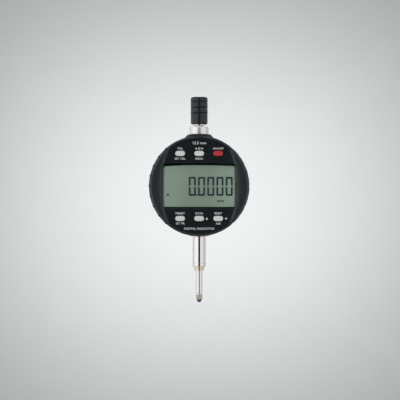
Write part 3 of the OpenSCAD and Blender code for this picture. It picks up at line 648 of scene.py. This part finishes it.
def window_shadow_mask():
    """Black sheet on the back of the window as painted shadow: a deep band above, under the window's top
    edge, and a narrower band of painted shade below.
    """
    # depth of the painted shadow above and of the painted shade below
    above, below = 1.45, 0.75
    low = WINDOW_Z - WINDOW_H / 2 + below
    outer = window(1.05)
    inner = [(x, z - above if z > 0.8 * WINDOW_H / 2 else max(z, low)) for x, z in window(-0.02)]
    front, back = LENS_BACK + 0.01, LENS_BACK + 0.05
    outlines = ((outer, front), (inner, front), (inner, back), (outer, back))
    bm = bmesh.new()
    rings = [[bm.verts.new((x, y, z)) for x, z in outline] for outline, y in outlines]
    skin(bm, rings + rings[:1], capped=False)
    attach(make("display_lens_shadow_mask", bm, "window_shadow_black"), "display", "dark_plastic")


# the reading's figures: size, width of a stroke, half the gap at mid-height, and their left edges
DIGIT_W, DIGIT_H, STROKE, GAP = 4.34, 11.7, 1.12, 0.28
DIGITS_FROM = (-6.4, -0.72, 4.95, 10.6, 16.28)
DIGITS_Z = -0.2
INK_FRONT, INK_BACK = GLASS_LO.y - 0.045, GLASS_LO.y + 0.01


def half_zero(up):
    """Upper or lower half of a nought: two uprights and the cross stroke, with rounded corners."""
    w, h, s = DIGIT_W / 2, DIGIT_H / 2, STROKE
    tops = rounded([(-w, GAP), (-w, h, 0.75), (w, h, 0.75), (w, GAP), (w - s, GAP + 0.35),
                    (w - s, h - s, 0.3), (s - w, h - s, 0.3), (s - w, GAP + 0.35)], 3)
    return [(x, z if up else -z) for x, z in tops]


def ink(bm, outline, x, z):
    """One dark mark of the display, moved by x and z."""
    points = [(u + x, v + z) for u, v in outline]
    loft(bm, [(points, INK_FRONT), (points, INK_BACK)])


def display_reading():
    """The reading 0.0000 with its unit and the mark at the left."""
    dot, leg, bar_h = 1.0, 1.15, 0.36
    bm = bmesh.new()
    for left in DIGITS_FROM:
        for up in (True, False):
            ink(bm, half_zero(up), left + DIGIT_W / 2, DIGITS_Z)
    point = [(0, 0, 0.2), (0, dot + 0.05, 0.2), (dot, dot + 0.05, 0.2), (dot, 0, 0.2)]
    ink(bm, rounded(point, 3), -1.9, -6.05)
    ink(bm, [(-0.95, -1.65), (0.95, -1.65), (0, 0)], -19.3, -4.3)
    for start in (10.9, 13.15):
        for k in range(3):
            ink(bm, [(0, 0), (0, leg), (0.42, leg), (0.42, 0)], start + 0.74 * k, -9.95)
        ink(bm, [(0, 0), (0, bar_h), (1.2, bar_h), (1.2, 0)], start + 0.35, -9.16)
    attach(make("lcd_segments", bm, "lcd_ink"), "display", "lcd_glass")


def lettering():
    """Key labels and marks printed in white on the band."""
    step, row = key_middle("button_reset")[0], key_middle("button_tolerance")[1]
    high, low, small = row + 3.05, row - 3.2, 1.2
    bm = bmesh.new()
    for words, x, z, height in (
        ("TOL", -step, high, small), ("SET TOL", -step, low, small), ("MENU", 0, low, small),
        ("ON/OFF", step, high, small), ("PRESET", -step, -low, small), ("SET PR", -step, -high, small),
        ("DATA", 0, -low, small), ("RESET", step, -low, small), ("ABS", step, -high, small),
        ("12.5 mm", 0, row + 6.5, 1.6), ("DIGITAL INDICATOR", 0, -row - 6.2, 1.3),
    ):
        letters(bm, words, x, z, height)
    front, back = BAND_Y - 0.03, BAND_Y + 0.02
    for arrow in (
        [(step - 7.6, -row - 0.7), (step - 6.4, -row - 0.7), (step - 7.0, -row + 0.85)],
        [(step + 4.3, -row - 0.6), (step + 5.8, -row), (step + 4.3, -row + 0.6)],
        [(-2.6, high), (-1.5, high - 0.6), (-1.5, high + 0.6)],
        [(2.6, high), (1.5, high - 0.6), (1.5, high + 0.6)],
    ):
        loft(bm, [(arrow, front), (arrow, back)])
    lathe(bm, [(0.45, front), (0.7, front), (0.7, back), (0.45, back)], "Y", 24, (0, 0, high))
    attach(make("panel_lettering", bm, "white_print"), "display", "key_grey")


def letters(bm, words, x, z, height, face=BAND_Y, toward=-1):
    """Adds words to a mesh, centred on x and z, standing on the face that looks along toward."""
    capital = 0.69  # height of a capital at size 1
    curve = bpy.data.curves.new("words", "FONT")
    curve.body = words
    curve.align_x = "CENTER"
    curve.size = height / capital
    curve.space_character = 1.06
    curve.offset = 0.012 * height
    curve.extrude = 0.02
    curve.resolution_u = 3
    text = put("words", curve)
    mesh = as_mesh(text)
    turn = Matrix.Rotation(math.pi / 2, 4, "X")
    if toward > 0:
        turn = Matrix.Rotation(math.pi, 4, "Z") @ turn
    mesh.transform(Matrix.Translation((x, face + toward * 0.01, z - height / 2)) @ turn)
    bm.from_mesh(mesh)
    bpy.data.objects.remove(text)
    bpy.data.curves.remove(curve)
    bpy.data.meshes.remove(mesh)


# -------------------- stem, spindle and cap
def turned_piece(name, corners, finish, body, slot, segments=128, wave=None, sharp=32):
    """A piece turned about the spindle's axis, named after its CAD node and one more word."""
    bm = bmesh.new()
    lathe(bm, rounded(corners), "Z", segments, wave=wave)
    piece = make(name, bm, finish, sharp=sharp)
    attach(piece, body, slot, name.rsplit("_", 1)[0])
    return piece


def stem():
    """Plain shank with a seat for the bush and two fine turned grooves."""
    r, low, high = STEM_HI.x, STEM_LO.z, STEM_HI.z
    line, exposed, groove = low + 2.1, -BODY_R, r - 0.22
    turned_piece("mounting_stem_shank", [
        (BORE_R, low + 6.3, 0.1), (BUSH_SEAT_R, low + 6.2), (BUSH_SEAT_R, low, 0.15), (r, low, 0.55),
        (r, line, 0.05), (groove, line + 0.06, 0.08), (groove, line + 0.34, 0.08), (r, line + 0.4, 0.05),
        (r, exposed - 0.6, 0.06), (groove, exposed - 0.55, 0.06), (groove, exposed - 0.05, 0.06),
        (r, exposed, 0.06), (r, exposed + 4), (r - 0.5, exposed + 4), (r - 0.5, high, 0.2),
        (BORE_R, high, 0.2),
    ], "polished_steel", "housing", "polished_steel")


def lower_bush():
    """Brass ring at the stem's end, which guides the spindle."""
    r, low, high = BUSH_HI.x, BUSH_LO.z, BUSH_HI.z
    bore, lip, waist, face = SPINDLE_R + 0.04, r - 0.38, r - 0.25, STEM_LO.z
    turned_piece("lower_guide_bush_ring", [
        (bore, low + 1.2, 0.03), (lip, low + 1.2, 0.05), (lip, low, 0.12), (r, low, 0.3),
        (r, low + 1.3, 0.2), (waist, low + 1.4, 0.05), (waist, face - 0.02), (r, face + 0.1), (r, high, 0.1),
        (bore, high, 0.1),
    ], "brass", "housing", "brass")


def sleeve():
    """Silver collar at the top, narrower where it sits in the housing."""
    r, low, high = SLEEVE_HI.x, SLEEVE_LO.z, SLEEVE_HI.z
    seat, seat_r = high - 4.8, 4.4
    turned_piece("upper_sleeve_collar", [
        (BORE_R, low, 0.1), (seat_r, low, 0.2), (seat_r, seat, 0.05), (r, seat, 0.25), (r, high, 0.45),
        (BUSH_SEAT_R, high, 0.15), (BUSH_SEAT_R, low + 1), (BORE_R, low + 1),
    ], "satin_steel", "housing", "polished_steel")


def spindle():
    """Ground rod with a blind bore for the contact and a thinner end inside the cap."""
    low, high = SPINDLE_LO.z, SPINDLE_HI.z
    bore, depth, end, top = 1.27, low + 5.5, 1.5, INSERT_LO.z + 0.9
    turned_piece("spindle_rod", [
        (0, depth), (bore, depth), (bore, low, 0.1), (SPINDLE_R, low, 0.3), (SPINDLE_R, top, 0.1),
        (end, top, 0.1), (end, high, 0.2), (0, high),
    ], "spindle_steel", "spindle", "polished_steel")


def contact_point():
    """Contact with a bright collar, a straight knurl below it, and a carbide ball."""
    r, low, high = TIP_HI.x, TIP_LO.z, TIP_HI.z
    shoulder, ball_r, spigot, neck_r, depth = SPINDLE_LO.z, BALL_HI.x, 1.25, TIP_HI.x - 0.25, 0.15

    def knurl(turn, height):
        """Teeth of a straight knurl, fading out at both of its ends."""
        ends = min(1.0, max(0.0, (shoulder - 1.0 - height) / 0.15), max(0.0, (height - low - 1.0) / 0.3))
        return -depth * ends * (0.5 + 0.5 * math.cos(24 * turn)) ** 2

    body = [(0, high), (spigot, high, 0.1), (spigot, shoulder, 0.05), (neck_r, shoulder, 0.12),
            (neck_r, shoulder - 0.9, 0.05), (r, shoulder - 0.93, 0.12)]
    body += [(r, shoulder - 1.05 - 0.3 * k) for k in range(9)]
    body += [(r, shoulder - 3.6, 0.3), (ball_r - 0.02, low + 0.05, 0.1), (0, low + 0.05)]
    contact = turned_piece("contact_body_knurl", body, "tip_steel", "spindle", "satin_steel", 240, knurl, 50)
    contact.data.materials.append(FINISH["spindle_steel"])
    collar = (shoulder - 0.92) * MM + CENTRE.z
    for polygon in contact.data.polygons:
        polygon.material_index = int(polygon.center.z > collar)
    middle = (BALL_LO.z + BALL_HI.z) / 2
    arc = [math.pi * (k / 32 - 0.5) for k in range(33)]
    bm = bmesh.new()
    lathe(bm, [(max(ball_r * math.cos(t), 0), middle + ball_r * math.sin(t)) for t in arc], "Z", 64)
    attach(make("contact_ball_carbide", bm, "carbide"), "spindle", "carbide", "contact_ball")


def cap():
    """Ribbed lifting cap and the domed steel insert under it."""
    r, low, high = CAP_HI.x - 0.28, CAP_LO.z, CAP_HI.z
    seat, hollow, valley, ridge = INSERT_LO.z, 3.22, r - 0.32, r + 0.27
    outline = [(hollow, low + 8), (hollow, low, 0.15), (r - 0.5, low, 0.3), (r, low + 0.7, 0.4)]
    for rib in (8.5, 12.1, 15.6):
        z = seat + rib
        outline += [(r, z - 0.85, 0.15), (valley, z - 0.5, 0.12), (ridge, z - 0.22, 0.12),
                    (ridge, z + 0.2, 0.12), (r, z + 0.35, 0.1)]
    outline += [(r, high - 0.1, 1.7), (0.6 * r, high, 0.5), (0, high - 0.02), (0, low + 8)]
    turned_piece("lifting_cap_moulding", outline, "cap_black", "spindle", "cap_black", 128, sharp=50)
    dome, flange, end, bore = 14, INSERT_HI.x, 1.52, SPINDLE_R + 0.02
    under = [(x, seat + dome - math.sqrt(dome**2 - x**2)) for x in [flange * k / 8 for k in range(3, 9)]]
    ring = [(end, seat + 1), (bore, seat + 1), (bore, seat + 0.15), *under, (flange, seat + 1.2, 0.1),
            (3.2, seat + 1.2), (3.2, INSERT_HI.z, 0.1), (end, INSERT_HI.z)]
    turned_piece("cap_insert_flange", ring, "polished_steel", "spindle", "polished_steel")


def spring():
    """Measuring-force spring: round wire, one closed turn at each end."""
    low, high = SPRING_LO.z, SPRING_HI.z
    wire, radius, turns, steps, sides = 0.2, SPINDLE_R + 0.65, 9, 28, 8
    closed = 2 * wire
    bm = bmesh.new()
    rings = []
    for i in range(turns * steps + 1):
        share = i / steps
        if share < 1:
            z = low + wire + share * closed
        elif share > turns - 1:
            z = high - wire - (turns - share) * closed
        else:
            z = low + wire + closed + (high - low - 2 * wire - 2 * closed) * (share - 1) / (turns - 2)
        out = Vector((math.cos(math.tau * share), math.sin(math.tau * share), 0))
        spots = [out * (radius + wire * math.cos(a)) + Vector((0, 0, z + wire * math.sin(a)))
                 for a in [math.tau * k / sides for k in range(sides)]]
        rings.append([bm.verts.new(spot) for spot in spots])
    skin(bm, rings)
    coil = make("return_spring_coil", bm, "spring_steel")
    attach(coil, "spindle", "spring_steel", "return_spring")
    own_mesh(coil)


# -------------------- rear housing and back
def housing():
    """Cup behind the display with its neck, rounded edges, screw posts and openings."""
    front, back = mm_box("display_base")[1].y - 2.6, COVER_LO.y
    inner = front + 1.4
    bm = bmesh.new()
    lathe(bm, rounded([
        (HUB_BORE_R, front), (HOUSE_R, front, 0.45), (HOUSE_R, back, 0.12), (HOUSE_IN + 1.3, back),
        (HOUSE_IN + 1.3, back - 0.6), (HOUSE_IN + 0.5, back - 0.6), (HOUSE_IN + 0.5, back, 0.05),
        (HOUSE_IN, back, 0.05), (HOUSE_IN, inner, 0.5), (HUB_BORE_R, inner),
    ]), "Y", 160)
    cup = make("rear_housing_cup", bm, "housing_black")
    shape(cup, tool(neck), "UNION")
    shape(cup, tool(posts, inner, back), "UNION")
    shape(cup, tool(housing_openings, back))
    smooth(cup, 34)
    attach(cup, "housing", "housing_black", "rear_housing")


def neck(bm):
    """Shoulder under the collar: a turned body cut to the housing's depth."""
    low, top = BODY_R - 7, HOUSE_HI.z
    outline = rounded([(0, low), (9.5, low), (9.5, BODY_R - 1.4, 0.8), (8.5, BODY_R - 0.1, 0.6),
                       (7.1, top, 0.5), (0, top)])
    lathe(bm, outline, "Z", 96)
    cut = HOUSE_LO.y + 0.35
    for limit, side in ((cut, -1), (COVER_LO.y - 0.1, 1)):
        geometry = bm.verts[:] + bm.edges[:] + bm.faces[:]
        found = bmesh.ops.bisect_plane(bm, geom=geometry, plane_co=(0, limit, 0), plane_no=(0, side, 0),
                                       clear_outer=True)
        rim = [e for e in found["geom_cut"] if isinstance(e, bmesh.types.BMEdge)]
        bmesh.ops.edgeloop_fill(bm, edges=rim)


def posts(bm, inner, back):
    """Four screw posts and the stem's boss."""
    for x, z in four_places(FIX_AT, FIX_ANGLE):
        bar(bm, 2.4, inner - 0.2, back, x, z)
    bar(bm, 6, -BODY_R, 5.5 - BODY_R, segments=64, axis="Z")


def housing_openings(bm, back):
    """Screw bores, the stepped seat of the stem, the sleeve's bore and the data port."""
    stem_r, step_r = STEM_HI.x + 0.02, STEM_HI.x - 0.48
    for x, z in four_places(FIX_AT, FIX_ANGLE):
        bar(bm, 0.87, 0, back + 1, x, z, 24)
    lathe(bm, [(0, -BODY_R - 1), (stem_r, -BODY_R - 1), (stem_r, 4 - BODY_R), (step_r, 4 - BODY_R),
               (step_r, 6.5 - BODY_R), (0, 6.5 - BODY_R)], "Z", 96)
    bar(bm, 4.42, BODY_R - 8.5, HOUSE_HI.z + 1, segments=96, axis="Z")
    block(bm, (-HOUSE_R - 1, 0.6, -4.6), (-HOUSE_IN + 1.6, 4.8, 4.6))


def port_plug():
    """Rubber plug of the data socket, with a ribbed grip and its tongue in the socket."""
    low, high = mm_box("data_port_cover")
    middle, half_y, half_z, corner = 2.7, 1.95, 4.45, 0.7
    face, inside = -HOUSE_R + 0.12, -HOUSE_IN + 0.4
    front, back = middle - half_y, middle + half_y
    outline = rounded([(front, -half_z, corner), (front, half_z, corner), (back, half_z, corner),
                       (back, -half_z, corner)])
    bm = bmesh.new()
    rings = []
    for inset, x in ((0, inside), (0, face + 0.25), (-0.06, face + 0.07), (-0.2, face)):
        rings.append([bm.verts.new((x, middle + (y - middle) * (1 + inset / 2), z * (1 + inset / 4.5)))
                      for y, z in outline])
    skin(bm, rings)
    block(bm, (low.x, middle - 1.3, -1.6), (low.x + 0.7, middle + 1.3, 1.6))
    for k in range(-2, 3):
        block(bm, (low.x, middle - 1.1, 0.62 * k - 0.15), (low.x + 0.2, middle + 1.1, 0.62 * k + 0.15))
    block(bm, (-HOUSE_IN + 0.3, middle - 0.55, -2.8), (high.x, middle + 0.55, 2.8))
    plug = make("data_port_cover_plug", bm, "seal_black")
    attach(plug, "data_port_cover", "seal_black", "data_port_cover")


def back_plate():
    """Back cover with a rounded edge, screw seats and the battery opening."""
    low, high = COVER_LO.y, COVER_HI.y
    bm = bmesh.new()
    lathe(bm, rounded([(0, low), (HOUSE_R, low, 0.12), (HOUSE_R, high, 0.7), (0, high)]), "Y", 160)
    plate = make("back_cover_plate", bm, "housing_black")
    shape(plate, tool(plate_openings, low, high))
    smooth(plate, 34)
    attach(plate, "housing", "housing_black", "back_cover")


def plate_openings(bm, low, high):
    """The stepped hole of the battery cover and four countersinks."""
    clear, thread, rim, mouth = high + 1, THREAD_R + 0.1, HATCH_R + 0.1, HATCH_R + 0.3
    lathe(bm, [(0, low - 1), (thread, low - 1), (thread, high - 1.1), (rim, high - 1.1), (rim, high - 0.15),
               (mouth, high + 0.05), (mouth, clear), (0, clear)], "Y", 120, (HATCH_X, 0, 0))
    bore, head = 1.1, 2.15
    sink = [(0, low - 1), (bore, low - 1), (bore, high - 1.05), (head, high), (head, clear), (0, clear)]
    for x, z in four_places(FIX_AT, FIX_ANGLE):
        lathe(bm, sink, "Y", 40, (x, 0, z))


def cover_screws():
    """Four countersunk screws with cross recesses."""
    high = COVER_HI.y - 0.05
    end = mm_box("back_cover_screws")[0].y
    bm = bmesh.new()
    for x, z in four_places(FIX_AT, FIX_ANGLE):
        lathe(bm, rounded([(0, end), (0.85, end, 0.2), (0.85, high - 1), (1.95, high - 0.12, 0.1),
                           (1.85, high, 0.1), (0, high)]), "Y", 48, (x, 0, z))
    screws = make("back_cover_screws_cross", bm, "screw_steel")
    shape(screws, tool(cross_recesses, high))
    smooth(screws, 30)
    attach(screws, "housing", "screw_steel", "back_cover_screws")


def cross_recesses(bm, high):
    """Tapered crosses, each one outline so that a single cut makes the recess."""
    for i, (x, z) in enumerate(four_places(FIX_AT, FIX_ANGLE)):
        spin = Matrix.Rotation(math.radians(20 + 37 * i), 2)
        rings = []
        for reach, half, y in ((0.5, 0.16, high - 0.75), (1.15, 0.22, high - 0.1), (1.2, 0.23, high + 0.5)):
            arm = [Vector(p) for p in ((reach, -half), (reach, half), (half, half))]
            cross = [spin @ (Matrix.Rotation(math.pi / 2 * k, 2) @ p) for k in range(4) for p in arm]
            rings.append(([tuple(p) for p in cross], y))
        loft(bm, rings, (x, z))


def hatch():
    """Battery cover: a screwed disc with a coin slot, a turned rim and printed marks."""
    low, high = HATCH_LO.y, HATCH_HI.y
    sunk, field = high - 0.15, high - 0.06
    bm = bmesh.new()
    lathe(bm, rounded([
        (0, low), (THREAD_R, low, 0.2), (THREAD_R, high - 0.8), (HATCH_R, high - 0.8), (HATCH_R, high, 0.3),
        (HATCH_R - 1.1, high, 0.12), (HATCH_R - 1.25, sunk, 0.1), (HATCH_R - 1.6, sunk, 0.1),
        (HATCH_R - 1.75, field, 0.05), (0, field),
    ]), "Y", 120, (HATCH_X, 0, 0))
    disc = make("battery_cover_disc", bm, "housing_black")
    slot = [(13, 1.6, high - 0.9), (13, 1.6, sunk), (13.3, 1.9, high + 0.02), (13.6, 2.2, high + 1)]
    shape(disc, tool(loft, [(pill(w, h), y) for w, h, y in slot], (HATCH_X, 0)))
    smooth(disc, 34)
    attach(disc, "battery_cover", "dark_plastic", "battery_cover")
    bm = bmesh.new()
    letters(bm, "3 V +", HATCH_X, 4.2, 1.9, field, 1)
    letters(bm, "OPEN", HATCH_X, -4.4, 1.6, field, 1)
    attach(make("battery_cover_marks", bm, "white_print"), "battery_cover", "key_grey")


# -------------------- soft inner pieces
MAT_FRONT = BOARD_Y - 0.8


def key_mats():
    """Two rubber mats, and a dome under each key."""
    keys = list(KEYS.items())
    for mat_node, under in (("keypad_mat_upper", keys[:3]), ("keypad_mat_lower", keys[3:])):
        mat(mat_node)
        for body, node in under:
            dome(body, node)


def mat(node):
    low, high = mm_box(node)
    w, h = (high.x - low.x) / 2, (high.z - low.z) / 2
    corner, bevel = 0.8, 0.12
    outline = rounded([(-w, -h, corner), (w, -h, corner), (w, h, corner), (-w, h, corner)])
    inner = [(x * (1 - bevel / w), z * (1 - bevel / h)) for x, z in outline]
    bm = bmesh.new()
    loft(bm, [(outline, BOARD_Y), (outline, MAT_FRONT + bevel), (inner, MAT_FRONT)],
         ((low.x + high.x) / 2, (low.z + high.z) / 2))
    attach(make(node + "_sheet", bm, "silicone_grey"), "display", "silicone_grey", node)


def dome(body, node):
    top = mm_box(node)[1].y
    x, z = key_middle(node)
    bm = bmesh.new()
    lathe(bm, rounded([
        (0, top), (1.3, top, 0.15), (1.35, top + 0.7, 0.2), (2.2, MAT_FRONT, 0.1), (1.8, MAT_FRONT),
        (0.9, top + 1.0, 0.2), (0.7, top + 1.6, 0.1), (0, top + 1.6),
    ]), "Y", 48, (x, 0, z))
    cushion = make(body + "_dome", bm, "silicone_grey")
    attach(cushion, "display", "silicone_grey")
    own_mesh(cushion)


def ribbon():
    """Flex cable from the display board through the hub, folded across to the sensor board."""
    low, high = mm_box("flex_cable")
    start, half, thin, turn_y = low.y, high.z, 0.08, -3.38
    far = low.x + thin
    path = bend_path([(0, start), (0, turn_y), (far, turn_y), (far, high.y)], 0.7)
    bm = bmesh.new()
    rings = []
    for i, spot in enumerate(path):
        ahead = (path[min(i + 1, len(path) - 1)] - path[max(i - 1, 0)]).normalized()
        side = Vector((-ahead.y, ahead.x)) * thin
        corners = [(spot + side, -half), (spot + side, half), (spot - side, half), (spot - side, -half)]
        rings.append([bm.verts.new((p.x, p.y, z)) for p, z in corners])
    skin(bm, rings)
    cable = make("flex_cable_ribbon", bm, "polyimide")
    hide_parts("flex_cable")
    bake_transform(cable)


def bend_path(route, radius, steps=6, spacing=0.4):
    """A route of straight stretches with rounded bends, as closely spaced points."""
    corners = [route[0], *[(*spot, radius) for spot in route[1:-1]], route[-1]]
    points = [Vector(spot) for spot in rounded(corners, steps)]
    filled = points[:1]
    for spot in points[1:]:
        start, gap = filled[-1], spot - filled[-1]
        count = max(1, round(gap.length / spacing))
        filled += [start + gap * k / count for k in range(1, count + 1)]
    return filled


# -------------------- CAD pieces that stay
SLOTS = {
    "window": ["display_lens"],
    "lcd_glass": ["lcd_panel"],
    "dark_plastic": ["lcd_frame", "battery_holder", "display_base"],
    "elastomer_pink": ["zebra_strips"],
    "circuit_board": ["display_board", "sensor_board"],
    "screw_steel": ["board_screws", "base_screws", "frame_screws", "sensor_board_screws", "stem_lock_nut",
                    "carrier_screw", "data_connector"],
    "chip_black": ["microcontroller", "sensor_chip"],
    "component_tan": ["board_components"],
    "connector_ivory": ["flex_connector_front", "flex_connector_rear"],
    "spring_steel": ["swivel_retaining_ring"],
    "seal_black": ["swivel_washer", "back_cover_seal", "battery_cover_seal", "spindle_wiper", "stop_washer"],
    "cell_steel": ["coin_cell"],
    "contact_spring": ["battery_contact_plus", "battery_contact_minus"],
    "brass": ["upper_guide_bush"],
    "frame_alloy": ["guide_frame", "scale_carrier"],
    "spindle_steel": ["guide_rod"],
    "scale_gold": ["scale_strip"],
}


def finish_cad_nodes():
    for finish, names in SLOTS.items():
        for name in names:
            mesh = nodes[name].data
            mesh.materials.clear()
            mesh.materials.append(FINISH[finish])


# -------------------- stage, light and camera
def stage():
    """Pale bowl: a floor that curves up into walls all round, far enough out for every view."""
    floor, wall, curve, top, segments = -0.95, 1.75, 0.6, 2.2, 96
    outline = [(0, floor), (wall - curve, floor)]
    outline += [(wall - curve + curve * math.sin(t), floor + curve - curve * math.cos(t))
                for t in [math.pi / 2 * k / 16 for k in range(1, 17)]]
    outline.append((wall, top))
    bm = bmesh.new()
    rings = []
    for radius, height in outline:
        turns = [math.tau * i / segments for i in range(segments if radius else 1)]
        rings.append([bm.verts.new((radius * math.cos(t), radius * math.sin(t), height)) for t in turns])
    skin(bm, rings, capped=False)
    mesh = bpy.data.meshes.new("studio_floor")
    bmesh.ops.recalc_face_normals(bm, faces=bm.faces)
    bm.to_mesh(mesh)
    bm.free()
    mesh.shade_smooth()
    n = Nodes("studio_paper")
    n.set(Roughness=0.9, Specular_IOR_Level=0.1, Emission_Strength=0.02, Emission_Color=(0.95, 0.98, 1.0, 1))
    n.feed("Base Color", n.blend(n.noise(40, 2), (0.50, 0.512, 0.515), (0.515, 0.527, 0.53)))
    mesh.materials.append(n.material)
    put("studio_floor", mesh)


def flag():
    """Black flag behind the camera, which gives round steel its dark middle line."""
    mesh = bpy.data.meshes.new("black_flag")
    distance, half_angle, low, high = 1.45, 15.5, -0.6, 1.0
    w = distance * math.tan(math.radians(half_angle))
    corners = [(x, -distance, z) for x, z in ((-w, low), (w, low), (w, high), (-w, high))]
    mesh.from_pydata(corners, [], [(0, 1, 2, 3)])
    panel = put("black_flag", mesh)
    n = Nodes("black_cloth")
    n.set(Base_Color=(0.004, 0.004, 0.004, 1), Roughness=1.0, Specular_IOR_Level=0.0)
    n.bump(n.noise(2, 2), 0.2)
    mesh.materials.append(n.material)
    panel.visible_camera = False


def lamp(name, place, aim, size, power, colour=(1, 1, 1)):
    light = bpy.data.lights.new(name, "AREA")
    light.shape = "RECTANGLE"
    light.size, light.size_y = size
    light.energy = power
    light.color = colour
    holder = put(name, light)
    holder.location = place
    holder.rotation_euler = (Vector(aim) - Vector(place)).to_track_quat("-Z", "Y").to_euler()
    holder.visible_camera = False


def lights():
    """Softboxes in two arcs from beside the camera to behind, more above and behind, and a glow."""
    target, lift = Vector((0, 0, 0.03)), Vector((0, 0, 0.2))
    reach, size = 1.05, (0.62, 1.8)
    for side, name, levels in ((-1, "left", (3.4, 3.4, 2.6, 1.9)), (1, "right", (2.6, 2.4, 1.4, 1.5))):
        for level, angle in zip(levels, (32.5, 65, 97.5, 130)):
            turn = math.radians(angle)
            place = target + Vector((side * reach * math.sin(turn), -reach * math.cos(turn), lift.z))
            lamp(f"softbox_{name}_{angle:.0f}", place, target + lift, size, level)
    lamp("softbox_top", (0, -0.75, 1.05), target, (0.9, 0.6), 3.0)
    lamp("softbox_behind", (0, 0.95, 1.1), target, (1.2, 0.8), 1.6)
    lamp("backdrop_glow", (0, 1.4, 0.03), (0, 2, 0.03), (0.5, 0.5), 2.6, (1.0, 1.0, 0.99))


def camera():
    """Long lens looking straight at the display, as far off as frames the whole indicator."""
    data = bpy.data.cameras.new("camera")
    data.lens, data.sensor_width = 150, 36
    data.clip_start, data.clip_end = 0.05, 20
    framed, plane, aside, lower = 0.248, -0.008, 0.0005, 0.0086
    holder = put("camera", data)
    holder.location = (aside, plane - framed * data.lens / data.sensor_width, CENTRE.z - lower)
    holder.rotation_euler = (math.pi / 2, 0, 0)
    bpy.context.scene.camera = holder


def surroundings():
    world = bpy.data.worlds.new("studio")
    world.use_nodes = True
    background = world.node_tree.nodes["Background"]
    background.inputs["Color"].default_value = (0.95, 0.98, 1.0, 1)
    background.inputs["Strength"].default_value = 0.1
    scene = bpy.context.scene
    scene.world = world
    scene.view_settings.view_transform = "Standard"
    scene.view_settings.look = "None"


# -------------------- build
camera()
lights()
stage()
flag()
surroundings()
finish_cad_nodes()
bezel()
for body, node in KEYS.items():
    key(body, node, "key_red" if node == "button_power" else "key_grey")
window_shadow_mask()
display_reading()
lettering()
stem()
lower_bush()
sleeve()
spindle()
contact_point()
cap()
spring()
housing()
port_plug()
back_plate()
cover_screws()
hatch()
key_mats()
ribbon()
